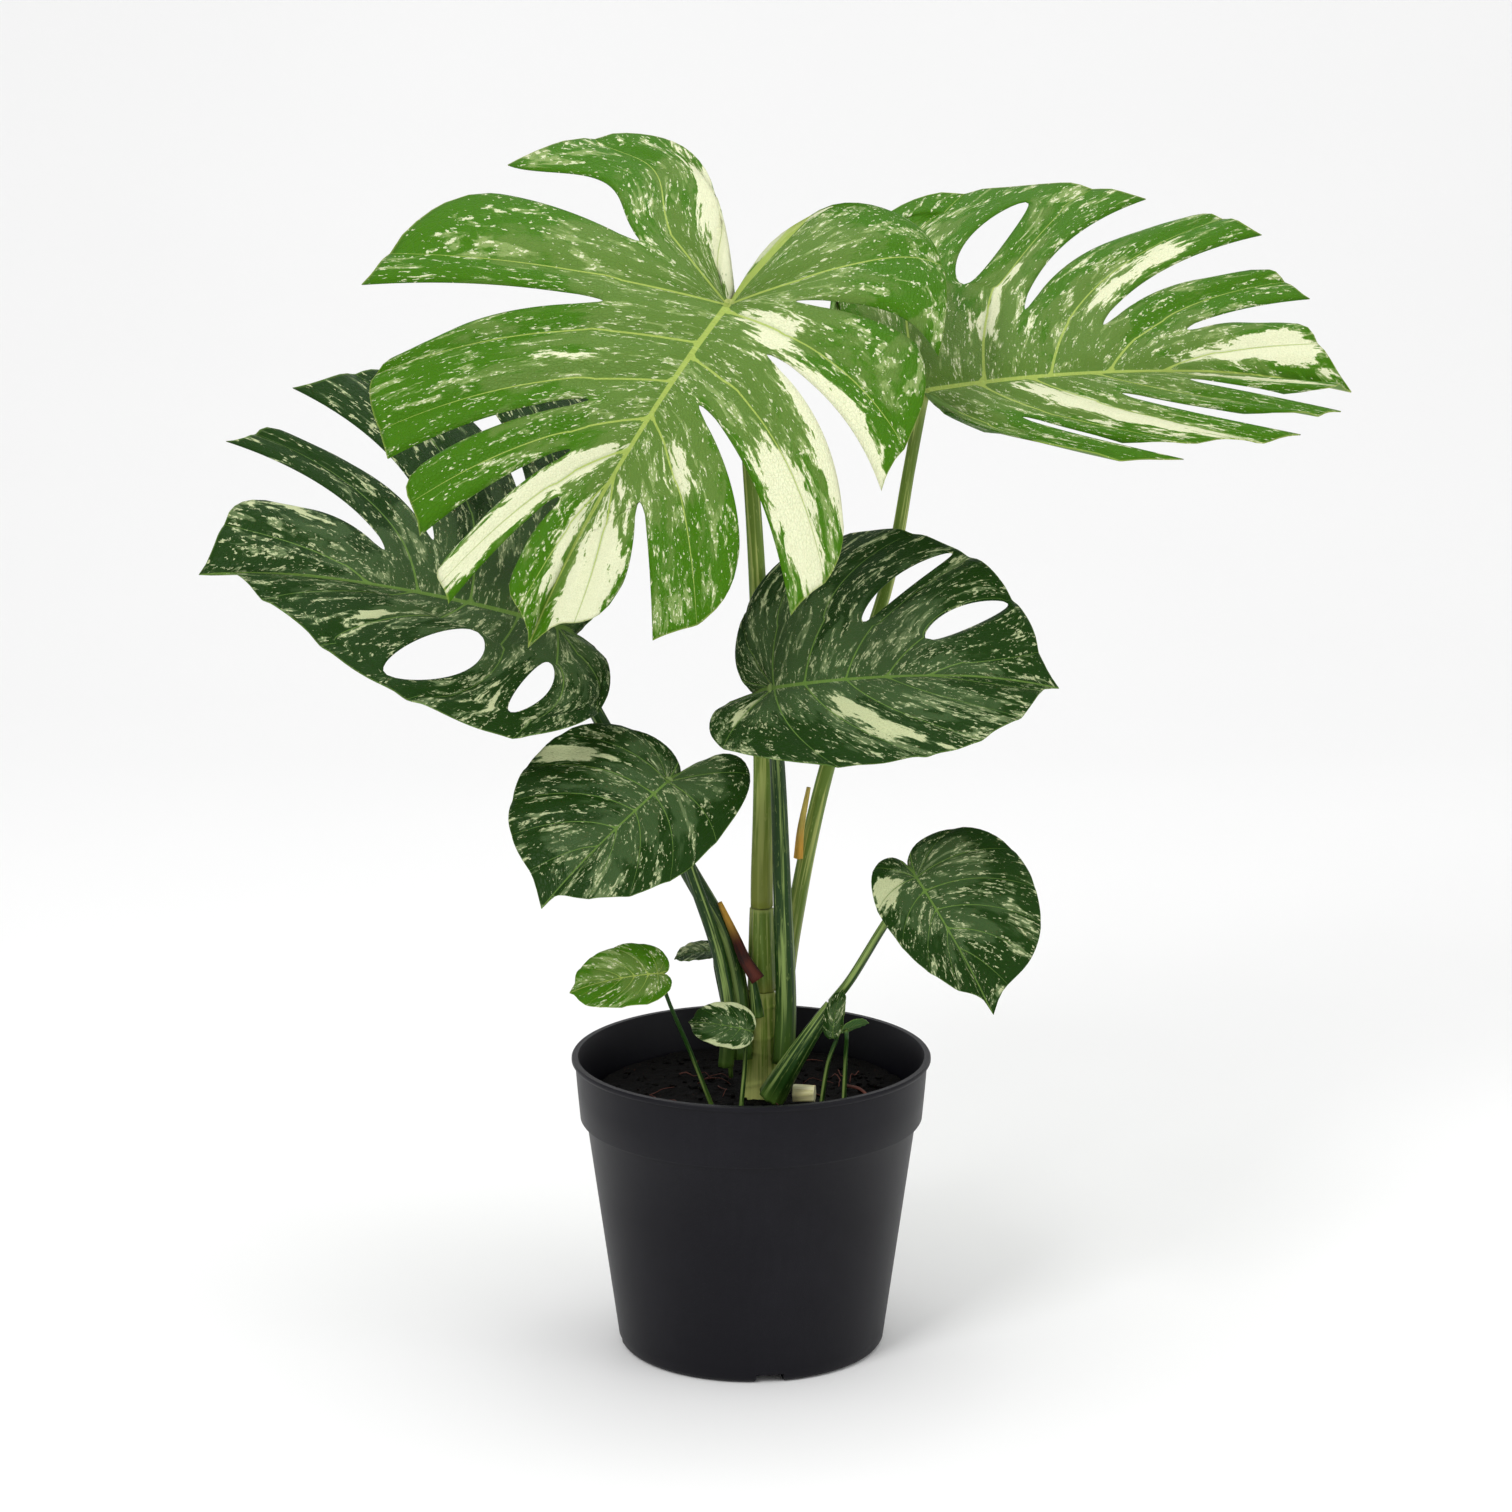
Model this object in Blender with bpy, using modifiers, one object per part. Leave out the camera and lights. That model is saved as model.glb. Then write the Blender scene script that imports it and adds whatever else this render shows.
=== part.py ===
"""A potted monstera plant: split leaves on stalks, soil and a nursery pot. Metres, +Z up."""

import math
from dataclasses import dataclass

import bmesh
import bpy
from mathutils import Euler, Vector
from mathutils.geometry import delaunay_2d_cdt

MM = 0.001
GAP = 0.3 * MM                 # between pieces that touch

# Pot: every height is measured from the surface that it stands on
POT_HEIGHT = 174 * MM
RIM_RADIUS = 105 * MM
BASE_RADIUS = 77.8 * MM
BAND_HEIGHT = 37 * MM
BAND_STEP = 3.5 * MM           # how far the band stands out from the body
BAND_TAPER = 3 * MM
LIP_HEIGHT = 3 * MM
LIP_OVERHANG = 1.8 * MM
WALL = 2.2 * MM
FLOOR = 3 * MM
FOOT_CHAMFER = 2.5 * MM
DRAIN_WIDTH = 16 * MM
DRAIN_HEIGHT = 9 * MM
DRAIN_DEPTH = 9 * MM
DRAINS = 4
DRAIN_TURN = 8                 # degrees that the first drain lies off the front
POT_STEPS = 48

# Soil
SOIL_TOP = POT_HEIGHT - 24 * MM
SOIL_STEPS = 40

# Stem
STEM_RADIUS = 12.5 * MM
STEM_TOP_RADIUS = 8.5 * MM
STEM_HEIGHT = 62 * MM          # above the soil
SHEATH_LENGTH = 50 * MM        # of the sheath between the stem and the top leaf's stalk
STEM_X = 6 * MM
STEM_Y = 1 * MM
STEM_DEPTH = 30 * MM           # how far the stem goes into the soil

# Leaves
HEEL = 8 * MM                  # blade behind the place where the stalk meets it
WIDEST = 0.4                   # station of the widest place, on a margin that runs 0 to 1
VEIN_ROOTS = 0.6               # the foremost side vein leaves the midrib here, as a share of it
LOBE_START = 0.5               # a lobe's shoulder and hook shape it beyond this share
SLIT_END = 2.6                 # millimetres, half the width of a slit's round end
MOUTH_LOW = 0.25               # share of a slit's mouth that the lower lobe gives
SMALL_LEAF = 60                # millimetres: a leaf this short has its whole name for its blade
TUBE_POINTS = 14
STALK_BEND = 12 * MM           # the last stretch of a stalk, square to the blade


def over(x, y, height):
    """A place on the plant: millimetres across, back, and up from the top of the soil."""
    return Vector((x * MM, y * MM, SOIL_TOP + height * MM))


def stem_radius(height):
    """Radius of the stem at a height over the soil, as its profile gives it."""
    swell = 15 * MM
    if height < swell:
        return STEM_RADIUS - 1 * MM * height / swell
    share = (height - swell) / (STEM_HEIGHT - swell)
    return STEM_RADIUS - 1 * MM + (STEM_TOP_RADIUS - STEM_RADIUS + 1 * MM) * share


def beside_stem(turn, height, radius):
    """Where a stalk of this radius stands against the stem, at a turn in degrees about it."""
    reach = stem_radius(height * MM) + radius + 1.5 * GAP
    angle = math.radians(turn)
    place = over(0, 0, height)
    return place + Vector((STEM_X + reach * math.cos(angle), STEM_Y + reach * math.sin(angle), 0))


def clear_scene():
    for thing in list(bpy.data.objects):
        bpy.data.objects.remove(thing, do_unlink=True)


def collection(name):
    made = bpy.data.collections.new(name)
    bpy.context.scene.collection.children.link(made)
    return made


def finish(name, colour, roughness):
    """A plain Principled material."""
    made = bpy.data.materials.new(name)
    made.use_nodes = True
    shader = made.node_tree.nodes["Principled BSDF"]
    shader.inputs["Base Color"].default_value = (*colour, 1.0)
    shader.inputs["Roughness"].default_value = roughness
    shader.inputs["Metallic"].default_value = 0.0
    return made


def add(name, mesh, material, parts):
    piece = bpy.data.objects.new(name, mesh)
    mesh.materials.append(material)
    parts.objects.link(piece)
    return piece


# ---- Blade outline -------------------------------------------------------------------------
#
# A half blade is laid out by two numbers. The station runs along its uncut margin from the
# notch by the stalk, 0, to the tip, 1. The share runs out along a side vein from the midrib,
# 0, to the margin, 1. A cut is a slit or a hole that follows one side vein.

@dataclass(frozen=True)
class Cut:
    """A slit, which opens at the margin, or a hole, which closes again at its outer share."""
    station: float
    inner: float
    width: float                 # millimetres, at the margin of a slit or the middle of a hole
    outer: float = 1.0
    belly: float = 0.0           # how far a slit cuts into its lower lobe half way out

    @property
    def is_slit(self):
        return self.outer >= 1.0


@dataclass(frozen=True)
class Half:
    """One side of a blade: its width, its reach behind the stalk, and its cuts."""
    width: float
    back: float
    taper: float = 0.9
    cuts: tuple = ()
    spread: float = 0.0          # how far the notch opens on this side, or closes if negative
    bow: tuple = (0.1, 0.1)      # how side veins bow back, by the notch and by the tip
    lobes: tuple = ()            # how far each lobe stands out, from the notch
    forward: float = 0.15        # widest place, as a share of the length


@dataclass(frozen=True)
class Leaf:
    """A blade and its stalk. Lengths are millimetres and angles are degrees."""
    name: str
    length: float
    left: Half
    right: Half
    at: tuple                    # across, back, and up from the soil
    heading: float
    rise: float
    roll: float
    droop: float = 20
    fold: tuple = (4, 4)         # how far each half is raised
    curl: float = 8              # how far a half turns down in 100 mm
    tip: float = 0.1
    shoulder: float = 0.22
    hook: float = 0.06
    sickle: float = 0.05         # how far a lobe's end swings to the tip, as a share of the length
    heel: float = HEEL / MM      # blade behind the stalk
    thickness: float = 1.6
    mesh_step: float = 17


def margin(leaf, half, station):
    """A point on the uncut margin, in millimetres along the midrib and out from it."""
    if station < WIDEST:
        share = station / WIDEST
        turn = math.pi * (1 - share)
        along = half.forward * leaf.length * share ** 2 - half.back * math.sin(turn)
        round_rise = 0.5 + 0.5 * math.cos(turn)
        straight_rise = math.sin(math.pi / 2 * share)
        rise = (1 - half.spread) * round_rise + half.spread * straight_rise
        return Vector((along - leaf.heel * (1 - share) ** 4, half.width * rise))
    share = (station - WIDEST) / (1 - WIDEST)
    turn = share * math.pi / 2
    reach = leaf.length * (1 - half.forward)
    along = half.forward * leaf.length + reach * ((1 - leaf.tip) * math.sin(turn) + leaf.tip * share ** 24)
    return Vector((along, half.width * max(0.0, math.cos(turn)) ** half.taper))


def vein_point(leaf, half, station, reach):
    """A point on a side vein, which leaves the midrib and bends forward as it runs out."""
    share = max(0.0, (station - WIDEST) / (1 - WIDEST))
    root = Vector((VEIN_ROOTS * leaf.length * share, 0))
    end = margin(leaf, half, station)
    amount = half.bow[0] + (half.bow[1] - half.bow[0]) * station
    bow = Vector((-amount, amount * 4 / 3 * station * (1 - station))) * (end - root).length
    return root.lerp(end, reach) + bow * (4 * reach * (1 - reach))


def lobe_place(half, station, low_side):
    """Which lobe a station is in, and how far across it."""
    slits = [cut.station for cut in half.cuts if cut.is_slit]
    number = sum(1 for s in slits if s < station or (s == station and not low_side))
    ends = [0.0] + slits + [1.0]
    return number, (station - ends[number]) / (ends[number + 1] - ends[number])


def lobe_reach(leaf, half, number, share):
    """How far a lobe stands out: a round shoulder first, then a pointed hook."""
    last = sum(1 for cut in half.cuts if cut.is_slit)
    extra = half.lobes[number] - 1 if half.lobes else 0.0
    if number == 0:
        extra *= 1 - (1 - share) ** 8
    if number == last:
        extra *= 1 - share ** 6
    scale = 1 + extra
    if number > 0:
        scale -= leaf.shoulder * (1 - share) ** 5
    if number < last:
        scale += leaf.hook * share ** 6
    return scale


def cut_offset(leaf, half, cut, low_side, share):
    """How far a cut's edge stands from its own vein."""
    if share <= cut.inner or share > cut.outer:
        return Vector((0, 0))
    across = (margin(leaf, half, cut.station + 0.01) - margin(leaf, half, cut.station - 0.01)).normalized()
    run = (share - cut.inner) / (cut.outer - cut.inner)
    if cut.is_slit:
        part = MOUTH_LOW if low_side else 1 - MOUTH_LOW
        wide = SLIT_END * math.sqrt(min(1, run / 0.12)) * (1 - run) + part * cut.width * run ** 1.4
        wide += cut.belly * math.sin(math.pi * run) ** 2 if low_side else 0
    else:
        wide = cut.width / 2 * math.sqrt(max(0.0, math.sin(math.pi * run)))
    return across * (-wide if low_side else wide)


def blade_point(leaf, half, index, across, share):
    """A point of the strip between two cuts: across is 0 at the lower cut and 1 at the upper."""
    stops = [0.0] + [cut.station for cut in half.cuts] + [1.0]
    station = stops[index] + (stops[index + 1] - stops[index]) * across
    out = max(0.0, (share - LOBE_START) / (1 - LOBE_START)) ** 2
    number, place = lobe_place(half, station, across == 1.0)
    reach = share + (lobe_reach(leaf, half, number, place) - 1) * out
    point = vein_point(leaf, half, station, reach)
    if half.cuts and station < 1:
        along = margin(leaf, half, station + 0.005) - margin(leaf, half, station - 0.005)
        swing = leaf.sickle * leaf.length * out * place ** 3 * (1 - station)
        point += along.normalized() * swing
    if index > 0:
        point += cut_offset(leaf, half, half.cuts[index - 1], False, share) * (1 - across)
    if index < len(half.cuts):
        point += cut_offset(leaf, half, half.cuts[index], True, share) * across
    return point


def slit_shares(cut):
    """Shares along a slit's edge, closer together at its round end."""
    return [cut.inner + (1 - cut.inner) * run for run in (0.04, 0.14, 0.32, 0.55, 0.78)]


def half_outline(leaf, half, step):
    """One half of the blade's edge, from notch to tip, with its slits."""
    points = []
    stops = [0.0] + [cut.station for cut in half.cuts] + [1.0]
    for index in range(len(half.cuts) + 1):
        count = max(2, round((stops[index + 1] - stops[index]) / step))
        points += [blade_point(leaf, half, index, i / count, 1.0) for i in range(count + 1)]
        if index < len(half.cuts) and half.cuts[index].is_slit:
            cut = half.cuts[index]
            points += [blade_point(leaf, half, index, 1.0, share) for share in reversed(slit_shares(cut))]
            points.append(blade_point(leaf, half, index, 1.0, cut.inner))
            points += [blade_point(leaf, half, index + 1, 0.0, share) for share in slit_shares(cut)]
        elif index < len(half.cuts):
            points.pop()
    return points


def blade_outline(leaf, step=0.05):
    near = half_outline(leaf, leaf.left, step)
    far = half_outline(leaf, leaf.right, step)
    return [p * MM for p in near] + [Vector((p.x, -p.y)) * MM for p in reversed(far[1:-1])]


def hole_loop(leaf, half, number, side, count=6):
    """A hole's edge, out along one side of its vein and back along the other."""
    cut = half.cuts[number]
    loop = []
    for low_side in (False, True):
        runs = [i / count for i in range(count)]
        for run in runs if not low_side else [1 - r for r in runs]:
            share = cut.inner + (cut.outer - cut.inner) * run
            if low_side:
                point = blade_point(leaf, half, number, 1.0, share)
            else:
                point = blade_point(leaf, half, number + 1, 0.0, share)
            loop.append(Vector((point.x, point.y * side)) * MM)
    return loop


def inside(point, loop):
    """Whether a point lies in a closed loop."""
    found = False
    for a, b in zip(loop, loop[1:] + loop[:1]):
        if (a.y > point.y) != (b.y > point.y):
            if point.x < (b.x - a.x) * (point.y - a.y) / (b.y - a.y) + a.x:
                found = not found
    return found


def clear_of(point, loops, distance):
    for loop in loops:
        for a, b in zip(loop, loop[1:] + loop[:1]):
            run = b - a
            share = max(0.0, min(1.0, (point - a).dot(run) / max(run.length_squared, 1e-12)))
            if (a + run * share - point).length < distance:
                return False
    return True


def start_turn(leaf):
    """The midrib starts this far above the line from its foot to its tip."""
    return math.radians(leaf.droop) / 2


def bend(leaf, point):
    """Lay a flat blade point on the blade's bent surface, in the blade's own frame."""
    curve = math.radians(leaf.droop) / (leaf.length * MM)
    start = -start_turn(leaf)
    turn = start + curve * point.x
    along = (math.sin(turn) - math.sin(start)) / curve
    spine = Vector((along, 0, (math.cos(turn) - math.cos(start)) / curve))
    up = Vector((math.sin(turn), 0, math.cos(turn)))
    fold = math.radians(leaf.fold[0] if point.y > 0 else leaf.fold[1])
    out = abs(point.y)
    lean = fold - math.radians(leaf.curl) / (100 * MM) * out / 2
    side = math.copysign(1, point.y)
    return spine + Vector((0, side * out * math.cos(lean), 0)) + up * (out * math.sin(lean))


def turn_of(leaf):
    """Heading, rise and roll of a midrib as a rotation."""
    return Euler([math.radians(a) for a in (-leaf.roll, -leaf.rise, leaf.heading)])


def blade_normal(leaf):
    start = start_turn(leaf)
    return turn_of(leaf).to_matrix() @ Vector((-math.sin(start), 0, math.cos(start)))


def blade(leaf, material, parts):
    """A leaf blade: its outline filled with triangles, bent, and given a thickness."""
    step = leaf.mesh_step * MM
    outline = blade_outline(leaf)
    holes = [hole_loop(leaf, half, number, side) for half, side in ((leaf.left, 1), (leaf.right, -1))
             for number, cut in enumerate(half.cuts) if not cut.is_slit]
    loops = [outline] + holes
    points = []
    edges = []
    for loop in loops:
        start = len(points)
        points += loop
        edges += [(start + i, start + (i + 1) % len(loop)) for i in range(len(loop))]
    size = int(2 * leaf.length * MM / step)
    for column in range(-size, size):
        for row in range(-size, size):
            point = Vector(((column + 0.5 * (row % 2)) * step, row * step))
            if inside(point, outline) and clear_of(point, loops, 0.5 * step):
                points.append(point)
    flat, _, faces, *_ = delaunay_2d_cdt(points, edges, [], 1, 1e-7)
    name = leaf.name + ("_blade" if leaf.length > SMALL_LEAF else "")
    mesh = bpy.data.meshes.new(name)
    shell = bmesh.new()
    placed = [shell.verts.new(bend(leaf, point)) for point in flat]
    for face in faces:
        middle = sum((flat[i] for i in face), Vector((0, 0))) / len(face)
        if inside(middle, outline) and not any(inside(middle, hole) for hole in holes):
            shell.faces.new([placed[i] for i in face])
    loose = [v for v in shell.verts if not v.link_faces]
    bmesh.ops.delete(shell, geom=loose, context="VERTS")
    bmesh.ops.recalc_face_normals(shell, faces=shell.faces)
    shell.to_mesh(mesh)
    shell.free()
    mesh.shade_smooth()
    piece = add(name, mesh, material, parts)
    piece.location = over(*leaf.at)
    piece.rotation_euler = turn_of(leaf)
    thick = piece.modifiers.new("Thickness", "SOLIDIFY")
    thick.thickness = leaf.thickness * MM
    thick.offset = 0.0


# ---- Stalks --------------------------------------------------------------------------------

def smooth(route, count):
    """Even points along a smooth curve through the route's own points."""
    padded = [route[0] * 2 - route[1]] + route + [route[-1] * 2 - route[-2]]
    spans = len(route) - 1
    found = []
    for index in range(count + 1):
        place = min(index / count * spans, spans - 1e-9)
        at = int(place)
        t = place - at
        a, b, c, d = padded[at:at + 4]
        found.append(0.5 * (2 * b + (c - a) * t + (2 * a - 5 * b + 4 * c - d) * t * t
                            + (3 * b - a - 3 * c + d) * t ** 3))
    return found


def tube(name, route, start, end, material, parts, count=TUBE_POINTS, tail=()):
    """A round stalk of changing radius with closed ends, and a straight tail after its curve."""
    path = bpy.data.curves.new(name, "CURVE")
    path.dimensions = "3D"
    path.bevel_depth = start
    path.bevel_resolution = 2
    path.use_fill_caps = True
    line = path.splines.new("POLY")
    places = smooth(route, count) + list(tail)
    line.points.add(len(places) - 1)
    for index, place in enumerate(places):
        line.points[index].co = (*place, 1.0)
        line.points[index].radius = 1 + (end / start - 1) * index / (len(places) - 1)
    path.materials.append(material)
    piece = bpy.data.objects.new(name, path)
    parts.objects.link(piece)
    return piece


def stalk(leaf, name, via, start, end, material, parts, lift=STALK_BEND):
    """A stalk that bends square to the blade's underside and stops just short of it."""
    normal = blade_normal(leaf)
    foot = over(*leaf.at) - normal * (leaf.thickness * MM / 2 + GAP)
    tube(name, via + [foot - normal * lift], start, end, material, parts, TUBE_POINTS, [foot])


# ---- Pot and soil --------------------------------------------------------------------------

def turned(name, profile, steps, material, parts):
    """A profile at +X, top to bottom, turned round Z."""
    mesh = bpy.data.meshes.new(name)
    mesh.from_pydata([(x, 0, z) for x, z in profile], [(i, i + 1) for i in range(len(profile) - 1)], [])
    piece = add(name, mesh, material, parts)
    turn = piece.modifiers.new("Turn", "SCREW")
    turn.steps = steps
    turn.render_steps = steps
    turn.use_merge_vertices = True
    turn.merge_threshold = 0.00001
    return piece


def body_radius(height):
    """Outer radius of the pot's body under the band."""
    top = POT_HEIGHT - BAND_HEIGHT
    shoulder = RIM_RADIUS - LIP_OVERHANG - BAND_TAPER - BAND_STEP
    return BASE_RADIUS + (shoulder - BASE_RADIUS) * height / top


def pot(material, parts, cutters):
    """Lip, band, step, tapered body, flat base and the hollow, turned in one profile."""
    band_bottom = POT_HEIGHT - BAND_HEIGHT
    band_top_radius = RIM_RADIUS - LIP_OVERHANG
    mouth = band_top_radius - WALL
    profile = [
        (mouth, POT_HEIGHT),
        (RIM_RADIUS - 0.6 * MM, POT_HEIGHT),
        (RIM_RADIUS, POT_HEIGHT - LIP_HEIGHT / 2),
        (RIM_RADIUS - 0.4 * MM, POT_HEIGHT - LIP_HEIGHT),
        (band_top_radius, POT_HEIGHT - LIP_HEIGHT),
        (band_top_radius - BAND_TAPER, band_bottom),
        (body_radius(band_bottom), band_bottom - 1 * MM),
        (body_radius(FOOT_CHAMFER), FOOT_CHAMFER),
        (body_radius(0) - FOOT_CHAMFER, 0),
        (0, 0),
    ]
    hollow = [
        (0, FLOOR),
        (body_radius(FLOOR) - WALL, FLOOR),
        (body_radius(band_bottom) - WALL, band_bottom - 1 * MM),
        (band_top_radius - BAND_TAPER - WALL, band_bottom + 2 * MM),
        (mouth, POT_HEIGHT),
    ]
    piece = turned("nursery_pot", profile + hollow, POT_STEPS, material, parts)
    for index in range(DRAINS):
        angle = math.radians(DRAIN_TURN - 90 + 360 / DRAINS * index)
        bpy.ops.mesh.primitive_cube_add(size=1)
        cutter = bpy.context.object
        cutter.name = "drain_%d" % (index + 1)
        for owner in list(cutter.users_collection):
            owner.objects.unlink(cutter)
        cutters.objects.link(cutter)
        cutter.scale = (DRAIN_DEPTH, DRAIN_WIDTH, DRAIN_HEIGHT)
        reach = body_radius(0)
        cutter.location = (reach * math.cos(angle), reach * math.sin(angle), DRAIN_HEIGHT * 0.1)
        cutter.rotation_euler = (0, 0, angle)
        cutter.hide_render = True
        cutter.display_type = "WIRE"
        cut = piece.modifiers.new("Drain %d" % (index + 1), "BOOLEAN")
        cut.operation = "DIFFERENCE"
        cut.solver = "EXACT"
        cut.object = cutter


def soil_radius(height):
    return body_radius(height) - WALL - 2 * GAP


def soil(material, parts, cutters):
    """The soil fills the hollow, and the stem's hole goes down into it."""
    band_bottom = POT_HEIGHT - BAND_HEIGHT
    profile = [
        (0, SOIL_TOP),
        (soil_radius(band_bottom) - 2 * MM, SOIL_TOP),
        (soil_radius(band_bottom) - 1 * MM, SOIL_TOP - 3 * MM),
        (soil_radius(0) - 1 * MM, FLOOR + GAP),
        (0, FLOOR + GAP),
    ]
    piece = turned("potting_soil", profile, SOIL_STEPS, material, parts)
    bpy.ops.mesh.primitive_cylinder_add(
        vertices=24, radius=STEM_RADIUS + GAP, depth=2 * (STEM_DEPTH + GAP),
        location=(STEM_X, STEM_Y, SOIL_TOP))
    cutter = bpy.context.object
    cutter.name = "stem_hole"
    for owner in list(cutter.users_collection):
        owner.objects.unlink(cutter)
    cutters.objects.link(cutter)
    cutter.hide_render = True
    cutter.display_type = "WIRE"
    cut = piece.modifiers.new("Stem hole", "BOOLEAN")
    cut.operation = "DIFFERENCE"
    cut.solver = "EXACT"
    cut.object = cutter


def stem(material, parts):
    """A short stem that tapers above the soil."""
    profile = [
        (0, SOIL_TOP + STEM_HEIGHT),
        (STEM_TOP_RADIUS, SOIL_TOP + STEM_HEIGHT),
        (STEM_RADIUS - 1 * MM, SOIL_TOP + 15 * MM),
        (STEM_RADIUS, SOIL_TOP),
        (STEM_RADIUS, SOIL_TOP - STEM_DEPTH),
        (0, SOIL_TOP - STEM_DEPTH),
    ]
    piece = turned("main_stem", profile, 24, material, parts)
    piece.location = (STEM_X, STEM_Y, 0)


# ---- The leaves of this plant --------------------------------------------------------------

TOP_LEAF = Leaf(
    "top_leaf", 232,
    Half(145, 138, 0.9, (Cut(0.345, 0.22, 10, belly=5), Cut(0.485, 0.25, 34), Cut(0.655, 0.18, 26),
                         Cut(0.85, 0.36, 22)), -0.5, (0.16, 0.02), (0.79, 0.90, 1.04, 0.97, 0.95)),
    Half(200, 122, 1.15, (Cut(0.31, 0.38, 30, belly=20), Cut(0.465, 0.32, 58), Cut(0.715, 0.26, 14),
                          Cut(0.82, 0.34, 22), Cut(0.90, 0.46, 16)),
         0.8, (-0.08, 0.1), (0.96, 1.06, 0.97, 1.02, 1.13, 1)),
    (-13, 0, 461), -139, -50, 31, 30, (4, 0), 10, shoulder=0.16, hook=0.05)

UPPER_RIGHT_LEAF = Leaf(
    "upper_right_leaf", 250,
    Half(190, 60, 0.9, (Cut(0.49, 0.42, 24, 0.88), Cut(0.61, 0.30, 34), Cut(0.76, 0.28, 28),
                        Cut(0.88, 0.46, 16)), lobes=(1, 1.06, 1.03, 1)),
    Half(84, 4, 1.0, (Cut(0.46, 0.48, 14), Cut(0.70, 0.40, 18), Cut(0.87, 0.40, 12)), -0.5,
         forward=0.42),
    (100, 50, 406), 1, 1, -34, 22, (4, 12), 8, shoulder=0.18, sickle=0.06)

LEFT_LEAF = Leaf(
    "left_leaf", 210,
    Half(90, 42, 2.3, (Cut(0.40, 0.30, 16, 0.80), Cut(0.56, 0.28, 34, 0.92)), forward=0.12),
    Half(198, 30, 1.0, (Cut(0.54, 0.40, 26), Cut(0.73, 0.28, 34), Cut(0.835, 0.28, 26)),
         lobes=(1, 1.16, 1.2, 1.08), forward=0.12),
    (-111, 0, 278), 177, 9, 36, 20, (2, 2), 6, hook=0.1)

MIDDLE_RIGHT_LEAF = Leaf(
    "middle_right_leaf", 162,
    Half(114, 30, 0.9, (Cut(0.62, 0.38, 12, 0.97), Cut(0.80, 0.42, 17, 0.97)), forward=0.35),
    Half(64, 48, 1.3, forward=0.35),
    (13, -50, 252), 1, 1, -37, 22, (2, 2), 5)

LOWER_LEFT_LEAF = Leaf(
    "lower_left_leaf", 102, Half(51, 44, 1.5, forward=0.25), Half(70, 20, 0.68, forward=0.3),
    (-47, -45, 197), -154, -39, 36, 15, (3, 3), 8, tip=0.16, thickness=1.2, mesh_step=13)

LOWER_RIGHT_LEAF = Leaf(
    "lower_right_leaf", 92, Half(59, 24, 0.75, forward=0.2), Half(31, 22, 1.45, forward=0.2),
    (94, -40, 140), -47, -47, -28, 15, (3, 3), 8, tip=0.16, thickness=1.2, mesh_step=13)


def big_leaves(young, dark, green, pale, parts):
    """The split leaves, the leaf with holes and the two heart-shaped leaves, on their stalks."""
    sheath_top = STEM_HEIGHT / MM + SHEATH_LENGTH / MM
    for leaf, skin, bark, via, start, end in (
            (TOP_LEAF, young, pale,
             [over(6, 1, sheath_top + 0.7), over(6, 1.5, sheath_top + 18), over(7, 8, 198),
              over(4, 30, 290), over(-1, 38, 370), over(-7, 30, 435)], 6.5, 3.5),
            (UPPER_RIGHT_LEAF, young, pale,
             [beside_stem(52, 31, 5.5 * MM), over(24, 15, 95), over(44, 30, 188), over(78, 46, 291),
              over(92, 62, 360)], 5.5, 3.2),
            (LEFT_LEAF, dark, green,
             [beside_stem(-130, 25, 6.5 * MM), over(-7, -8.5, 56), over(-15, 0, 93), over(-37, 2, 135),
              over(-80, 4, 210)], 6.5, 3.5),
            (MIDDLE_RIGHT_LEAF, dark, green,
             [beside_stem(-45, 22, 6.5 * MM), over(20, -10, 60), over(18, -14, 121), over(15, -16, 201)],
             6.5, 3.5),
            (LOWER_LEFT_LEAF, dark, green,
             [beside_stem(-136, 22, 17.4 * MM), over(-13.1, -17.8, 56), over(-20.2, -11.6, 93),
              over(-38, -20, 150)], 4.5, 3.0),
            (LOWER_RIGHT_LEAF, dark, green,
             [over(46.7, -23.8, 61.5), over(58, -28, 78), over(76, -26, 108)], 2.8, 2.2)):
        blade(leaf, skin, parts)
        stalk(leaf, leaf.name + "_petiole", via, start * MM, end * MM, bark, parts)


def small_leaves(dark, green, parts):
    """Five small leaves on thin stalks, low over the soil."""
    rows = (
        # place, heading, rise, roll, length, half width, then the stalk's way up
        ((-53, -60, 89), 180, -12, 38, 52, 22, ((-22, -34), (-35, -42, 38), (-46, -52, 68))),
        ((-22, 22, 80), 186, -10, 14, 24, 11, ((-12, 28), (-15, 27, 36), (-21, 23, 70))),
        ((-3, -40, 50), 172, 6, 44, 34, 15, ((-6, -36), (-4, -34, 22), (-3, -35, 40))),
        ((47, -44, 50), 65, 60, 20, 26, 8, ((40, -36), (44, -41, 30))),
        ((54, -56, 55), 10, 15, 40, 14, 7, ((53, -46), (54, -50, 36))),
    )
    for number, (at, heading, rise, roll, length, wide, way) in enumerate(rows, 1):
        half = Half(wide, length * 0.18, 0.8, forward=0.25)
        leaf = Leaf("small_leaf_%d" % number, length, half, half, at, heading, rise, roll, 25, (6, 6), 20,
                    heel=3.2, thickness=0.8, mesh_step=7)
        blade(leaf, dark, parts)
        via = [over(*way[0], 0.8)] + [over(*place) for place in way[1:]]
        stalk(leaf, "small_stalk_%d" % number, via, 1.4 * MM, 1.1 * MM, green, parts, 4 * MM)


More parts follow.
